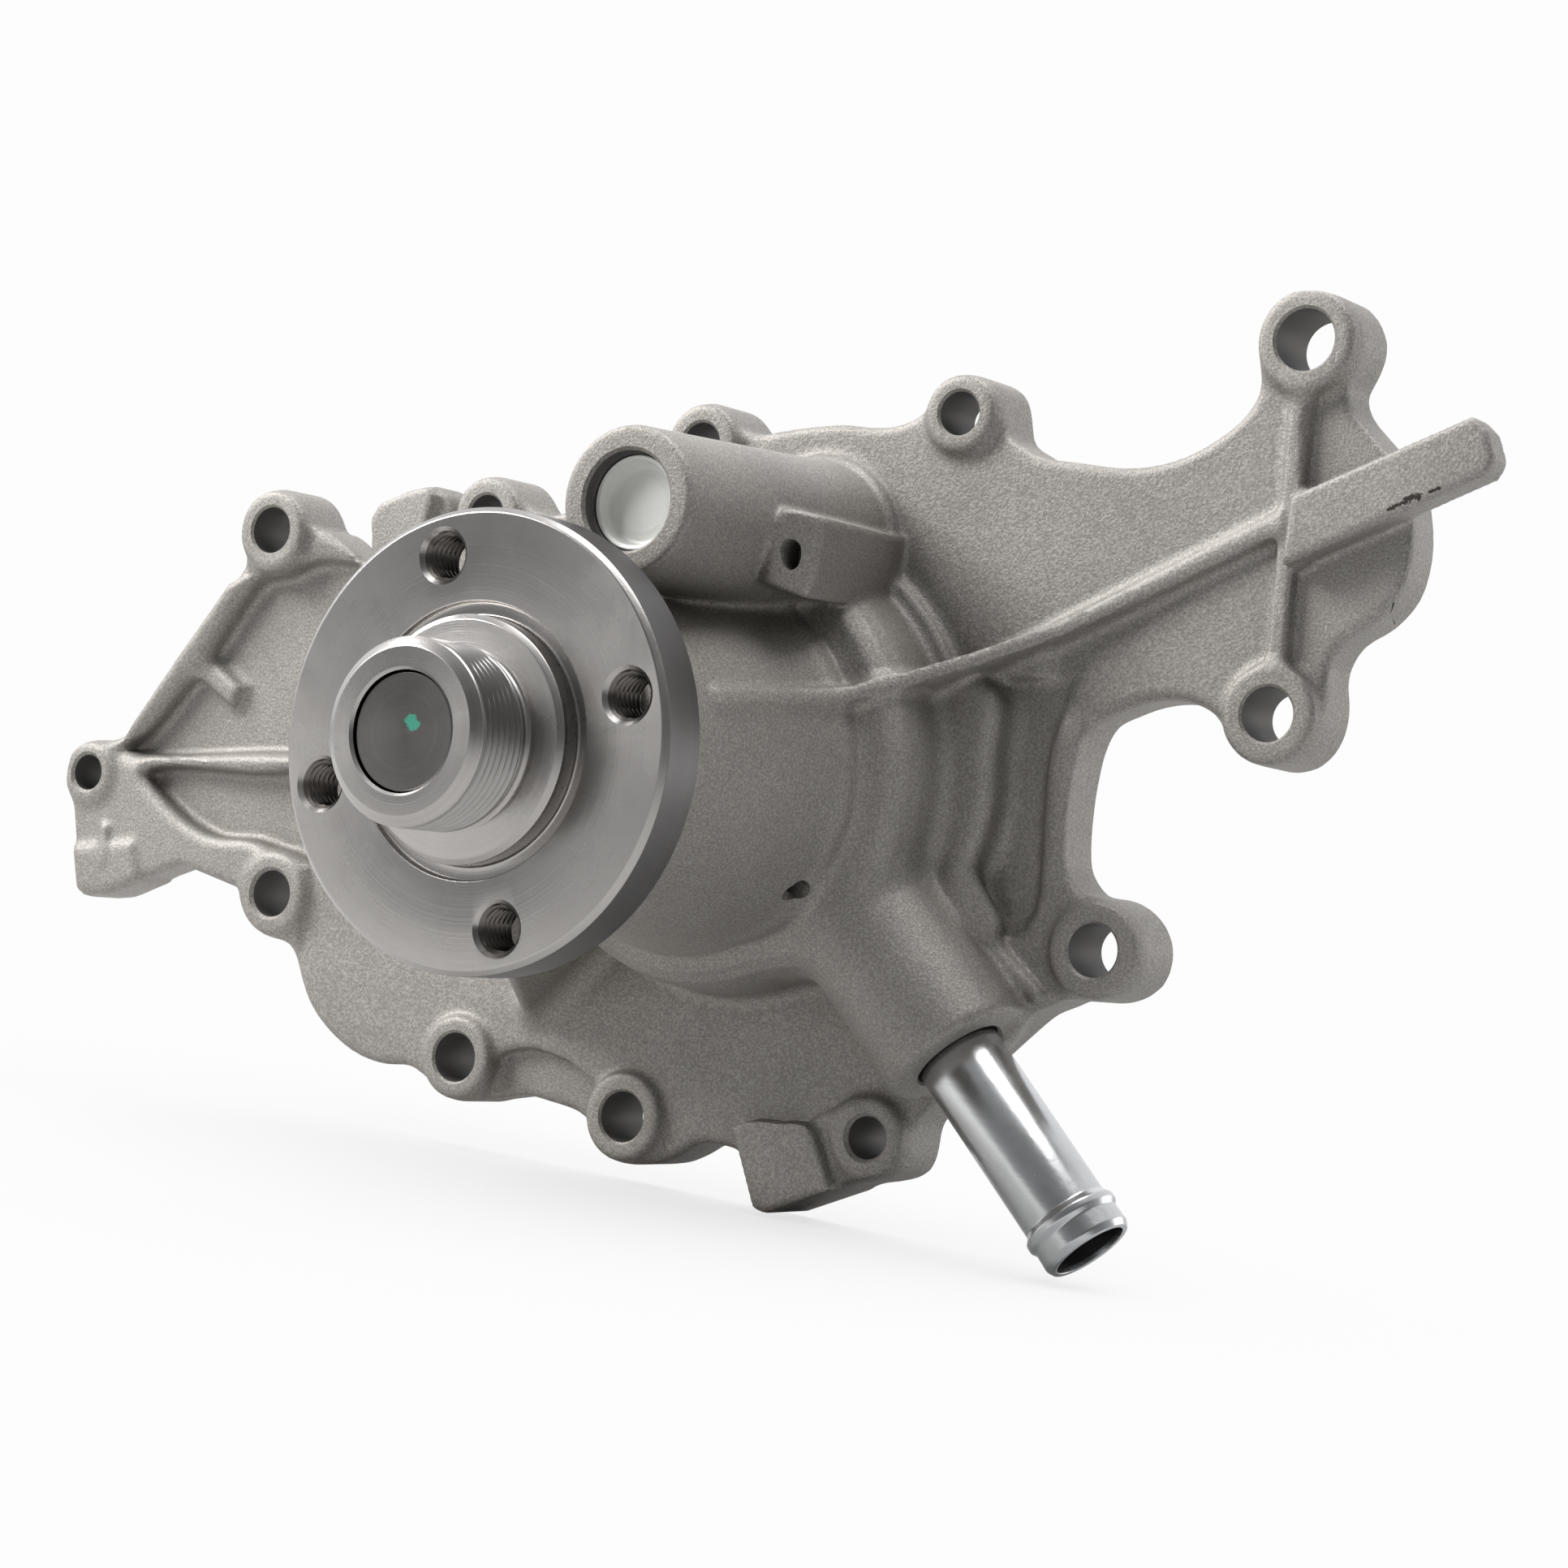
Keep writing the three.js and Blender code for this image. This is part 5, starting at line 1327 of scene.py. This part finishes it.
def build_cage(name, inner, outer, y0, y1, cutter_sets, body, replaced):
    profile = rounded([(inner, y0, 0.3), (outer, y0, 0.3), (outer, y1, 0.3), (inner, y1, 0.3)], 4)
    cage = make_object(name, *revolve(profile, 96))
    for cutters in cutter_sets:
        cut(cage, cutters)
    finish(cage, (CAGE,), body, replaced)


def ball_pocket(angle):
    x, z = around(1, angle)
    return revolve([(0, 8), (4.45, 8), (4.45, 18), (0, 18)], 40,
                   origin=(0, BALL_Y, 0), axis=(x, 0, z))


def roller_window(angle):
    ca, sa = around(1, angle)
    half = ROLLER_R + 0.25
    return prism_mesh([(r * ca - t * sa, r * sa + t * ca)
                       for r, t in ((8, -half), (18, -half), (18, half), (8, half))],
                      ROLLER_FRONT_Y - 0.3, ROLLER_BACK_Y + 0.3)


def build_lip_seal(name, replaced, end_y, inward):
    """Seal at one end of the outer ring; inward is the sign of Y into the bearing."""
    face, back, edge = end_y + inward * 0.5, end_y + inward * 2.2, RACE_BORE - 0.12
    profile = rounded([
        (SHAFT_R + 0.15, face + inward * 0.5, 0.1), (SHAFT_R + 0.9, face, 0.2),
        (12.0, face, 0.2), (12.4, face + inward * 0.35, 0.15),
        (15.4, face + inward * 0.35, 0.15), (15.7, face, 0.2), (edge, face, 0.2),
        (edge, back, 0.2), (SHAFT_R + 0.4, back, 0.2)], 4)
    turned_part(name, profile, 96, "pump", replaced, RUBBER)


build_race()
build_balls()
build_rollers()
build_cage("ball_cage_ring", 11.7, 14.3, -54, -43.2,
           [[ball_pocket(360 / BALLS * i) for i in range(BALLS)]], "ball_set", "ball_cage")
# neighbouring windows overlap, so they are cut in two alternating sets
build_cage("roller_cage_ring", 11.9, 14.2, -76.4, -57.6,
           [[roller_window(360 / ROLLERS * i) for i in range(first, ROLLERS, 2)]
            for first in (0, 1)], "roller_set", "roller_cage")
build_lip_seal("lip_seal_front", "front_bearing_seal", RACE_FRONT_Y, 1)
build_lip_seal("lip_seal_rear", "rear_bearing_seal", RACE_BACK_Y, -1)


# ---------------------------------------------------------------- face seal
def build_cup():
    outer, flange = SEAL_BORE - FIT, CHAMBER_Y + 0.3
    profile = rounded([
        (outer - 0.8, flange + 0.8, 0.5), (outer - 0.8, SEAL_Y + 1.1, 0.6),
        (11, SEAL_Y + 1.1, 0.2), (11, SEAL_Y + 0.3, 0.2), (outer, SEAL_Y + 0.3, 1.2),
        (outer, flange, 0.2), (20.6, flange, 0.2), (20.6, CHAMBER_Y + 1.1, 0.2)], 5)
    turned_part("brass_cup", profile, 96, "pump", "seal_cup", BRASS)


def build_bellows():
    profile = rounded([
        (9.4, SEAL_Y + 1.4, 0.2), (13.4, SEAL_Y + 1.4, 0.4), (13.4, SEAL_Y + 3, 0.6),
        (11.0, SEAL_Y + 4.4, 0.7), (13.2, SEAL_Y + 6, 0.7), (13.2, -24.2, 0.3),
        (9.4, -24.2, 0.2), (9.4, -26.4, 0.3), (10.2, SEAL_Y + 4.4, 0.5),
        (9.4, SEAL_Y + 2.8, 0.4)], 5)
    turned_part("rubber_bellows", profile, 80, "pump", "seal_bellows", RUBBER)


def build_spring():
    """A wire swept along a helix."""
    turns, steps, sides, coil_r, wire_r, rise = 2.6, 150, 12, 15.4, 0.6, 6.0
    t = np.linspace(0, 1, steps)
    angle = 2 * math.pi * turns * t
    path = np.stack([coil_r * np.cos(angle), SEAL_Y + 2.2 + rise * t, coil_r * np.sin(angle)], 1)
    radial = np.stack([np.cos(angle), 0 * angle, np.sin(angle)], 1)
    tangent = np.gradient(path, axis=0)
    tangent /= np.linalg.norm(tangent, axis=1)[:, None]
    binormal = np.cross(tangent, radial)
    phase = np.linspace(0, 2 * math.pi, sides, endpoint=False)[None, :, None]
    rings = path[:, None] + wire_r * (np.cos(phase) * radial[:, None]
                                      + np.sin(phase) * binormal[:, None])
    around_wire = np.arange(sides)
    following = (around_wire + 1) % sides
    start = np.arange(steps - 1)[:, None] * sides
    i, j = start + around_wire, start + following
    walls = np.stack([i, j, j + sides, i + sides], 2).reshape(-1, 4)
    verts = np.concatenate([rings.reshape(-1, 3), rings[0].mean(0)[None], rings[-1].mean(0)[None]])
    last = (steps - 1) * sides
    caps = np.concatenate([
        np.stack([following, around_wire, np.full(sides, len(verts) - 2)], 1),
        np.stack([last + around_wire, last + following, np.full(sides, len(verts) - 1)], 1)])
    finish(make_object("coil_spring", verts, [walls, caps]), (SPRING,), "pump",
           "seal_spring", angle=60)


def build_seal_rings():
    carbon = rounded([(9.6, -23.9, 0.2), (14.2, -23.9, 0.2), (14.2, -20.6, 0.3),
                      (12.6, -19.4, 0.1), (10.2, -19.4, 0.1), (9.6, -20.6, 0.2)], 4)
    turned_part("carbon_ring", carbon, 96, "pump", "carbon_face_ring", CARBON)
    ceramic = rounded([(8.6, -19.2, 0.2), (14.6, -19.2, 0.3), (14.6, -15.2, 0.3),
                       (8.6, -15.2, 0.2)], 4)
    turned_part("ceramic_ring", ceramic, 96, "rotor", "ceramic_seat", CERAMIC)
    boot = rounded([(TAIL_R + FIT, -15.0, 0.1), (15.0, -15.0, 0.2), (15.0, -19.0, 0.2),
                    (16.2, -19.0, 0.3), (16.2, -13.2, 0.6), (TAIL_R + FIT, -13.2, 0.3)], 4)
    turned_part("seat_boot", boot, 96, "rotor", "seat_rubber_cup", RUBBER)


build_cup()
build_bellows()
build_spring()
build_seal_rings()


# ---------------------------------------------------------------- impeller
def vane_outline(start_angle):
    """Backward-swept vane of even thickness, as an (x, z) polygon."""
    root_r, tip_r, sweep, half_width, steps = 13, 34.2, 34, 1.1, 8
    middle = [around(root_r + (tip_r - root_r) * (k / steps), start_angle - sweep * (k / steps))
              for k in range(steps + 1)]
    left, right = [], []
    for k, (x, z) in enumerate(middle):
        before, after = middle[max(0, k - 1)], middle[min(steps, k + 1)]
        length = math.hypot(after[0] - before[0], after[1] - before[1])
        nx, nz = -(after[1] - before[1]) / length, (after[0] - before[0]) / length
        left.append((x + half_width * nx, z + half_width * nz))
        right.append((x - half_width * nx, z - half_width * nz))
    return left + right[::-1]


def build_impeller():
    vanes = 7
    f = Field((-37, -15.5, -37), (37, 0.6, 37), IMPELLER_STEP)
    f.turned([(0, -13.0), (15.5, -13.0), (15.5, -11.4), (34.5, -11.4), (34.5, -9.4),
              (14.8, -9.4), (13.3, -2.5), (0, -2.5)], edge=0.5, fillet=1.0)
    for i in range(vanes):
        f.prism(vane_outline((360 / vanes) * i), -10.2, -1.6, edge=0.6, fillet=1.4)
    wheel = make_object("impeller_wheel", *f.mesh())
    bore = TAIL_R + FIT
    cut(wheel, [revolve([(0, -16), (bore, -16), (bore, -2.9), (TAIL_R + 3, 0.5), (0, 0.5)], 96)])
    centres = face_values(wheel, "center") * 1000
    # the bore takes the dark bore material, painted shade inside the hole
    in_bore = np.hypot(centres[:, 0], centres[:, 2]) < TAIL_R + 0.6
    finish(wheel, (IRON, SHADED_BORE), "rotor", "impeller", angle=40,
           indices=in_bore.astype(np.int32))


build_impeller()


# ---------------------------------------------------------------- camera, floor, light (metres)
def add_camera():
    data = bpy.data.cameras.new("camera")
    data.sensor_width = data.sensor_height = 36.0
    data.lens = 83.8509317
    data.clip_start, data.clip_end = 0.01, 20
    camera = bpy.data.objects.new("camera", data)
    bpy.context.scene.collection.objects.link(camera)
    right = (0.842274721, 0.521063119, 0.138081573)
    up = (-0.117367226, -0.0727424776, 0.990420853)
    backward = (0.526116175, -0.850412699, -0.000113417229)
    matrix = Matrix((right, up, backward)).transposed().to_4x4()
    matrix.translation = Vector((0.348226888, -0.561986456, 0.0))
    camera.matrix_world = matrix
    bpy.context.scene.camera = camera


def floor_material():
    """Pale floor that the camera sees as an even glow, with a painted contact shadow near the part.
    """
    material, g, bsdf = new_material("pale_floor")
    base = g.ramp(g.noise(g.coords(), scale=3.0, detail=2.0),
                  (0.3, 0.52), (0.7, (0.56, 0.56, 0.555)))
    g.link(base, bsdf.inputs["Base Color"])
    bsdf.inputs["Roughness"].default_value = 0.85
    bsdf.inputs["Specular IOR Level"].default_value = 0.1
    # painted contact shadow: ambient occlusion darkens the glow near the part
    painted_contact_shadow = g.ramp(g.occlusion(distance=0.10, samples=8), (0.0, 0.70), (0.55, 0.93), (0.92, 1))
    glow = g.node("Emission", {"Color": painted_contact_shadow, "Strength": 0.98}).outputs[0]
    camera_ray = g.node("LightPath").outputs["Is Camera Ray"]
    mixed = g.node("MixShader", {0: camera_ray, 1: bsdf.outputs[0], 2: glow}).outputs[0]
    g.link(mixed, g.tree.nodes["Material Output"].inputs[0])
    return material


def add_floor():
    bm = bmesh.new()
    bmesh.ops.create_grid(bm, x_segments=8, y_segments=8, size=6.0)
    mesh = bpy.data.meshes.new("floor")
    bm.to_mesh(mesh)
    bm.free()
    floor = bpy.data.objects.new("floor", mesh)
    floor.location = (0, 0, -0.0758)
    bpy.context.scene.collection.objects.link(floor)
    mesh.materials.append(floor_material())


def add_world():
    """Soft studio surround, plain white to the camera."""
    world = bpy.data.worlds.new("studio")
    bpy.context.scene.world = world
    world.use_nodes = True
    world.node_tree.nodes.clear()
    g = Graph(world.node_tree)
    output = g.node("OutputWorld")
    studio = g.node("Background")
    backdrop = g.node("Background", {"Color": (1, 1, 1, 1), "Strength": 0.98})
    direction = g.node("TexCoord").outputs["Generated"]
    axis = g.node("SeparateXYZ", {0: direction}).outputs
    facing = g.vector("DOT_PRODUCT", direction, (0.526, -0.85, 0.0), output="Value")

    def shade(value, sign, *stops):
        """Ramp over a direction from -1 to 1."""
        return g.ramp(g.math("ADD", g.math("MULTIPLY", value, sign * 0.5), 0.5), *stops)

    # bright behind the part, above and to the left, dim where the viewer stands
    depth = shade(facing, 1, (0.0, (0.95, 0.95, 0.96)), (0.38, (0.82, 0.82, 0.83)),
                  (0.58, (0.50, 0.50, 0.505)), (0.78, 0.24), (0.95, 0.13))
    height = shade(axis[2], 1, (0.0, 0.28), (0.47, 0.60), (0.60, (0.86, 0.86, 0.87)), (1.0, 1.0))
    side = shade(axis[0], -1, (0.0, 0.62), (0.5, 0.80), (1.0, 1.0))
    light = g.mix(1.0, g.mix(1.0, depth, height, "MULTIPLY"), side, "MULTIPLY")
    g.link(light, studio.inputs["Color"])
    studio.inputs["Strength"].default_value = 1.4
    camera_ray = g.node("LightPath").outputs["Is Camera Ray"]
    mixed = g.node("MixShader", {0: camera_ray, 1: studio.outputs[0], 2: backdrop.outputs[0]})
    g.link(mixed.outputs[0], output.inputs[0])


def add_area_light(name, location, target, size, power, colour=(1, 1, 1)):
    data = bpy.data.lights.new(name, "AREA")
    data.shape = "RECTANGLE"
    data.size = data.size_y = size
    data.energy = power
    data.color = colour
    light = bpy.data.objects.new(name, data)
    light.location = location
    light.rotation_mode = "QUATERNION"
    light.rotation_quaternion = (Vector(target) - Vector(location)).to_track_quat("-Z", "Y")
    bpy.context.scene.collection.objects.link(light)


add_camera()
add_floor()
add_world()
add_area_light("key_left", location=(-0.75, -0.50, 0.60), target=(0, -0.04, 0), size=0.5,
               power=11.5, colour=(1.0, 0.99, 0.975))
add_area_light("top_soft", location=(0.10, -0.05, 1.05), target=(0, -0.04, 0), size=0.7, power=8)
add_area_light("rim_right", location=(0.58, 0.64, 0.12), target=(0.05, -0.02, 0), size=0.5,
               power=1.2)

bpy.context.scene.view_settings.view_transform = "Standard"
bpy.context.scene.view_settings.look = "None"

bpy.context.view_layer.update()
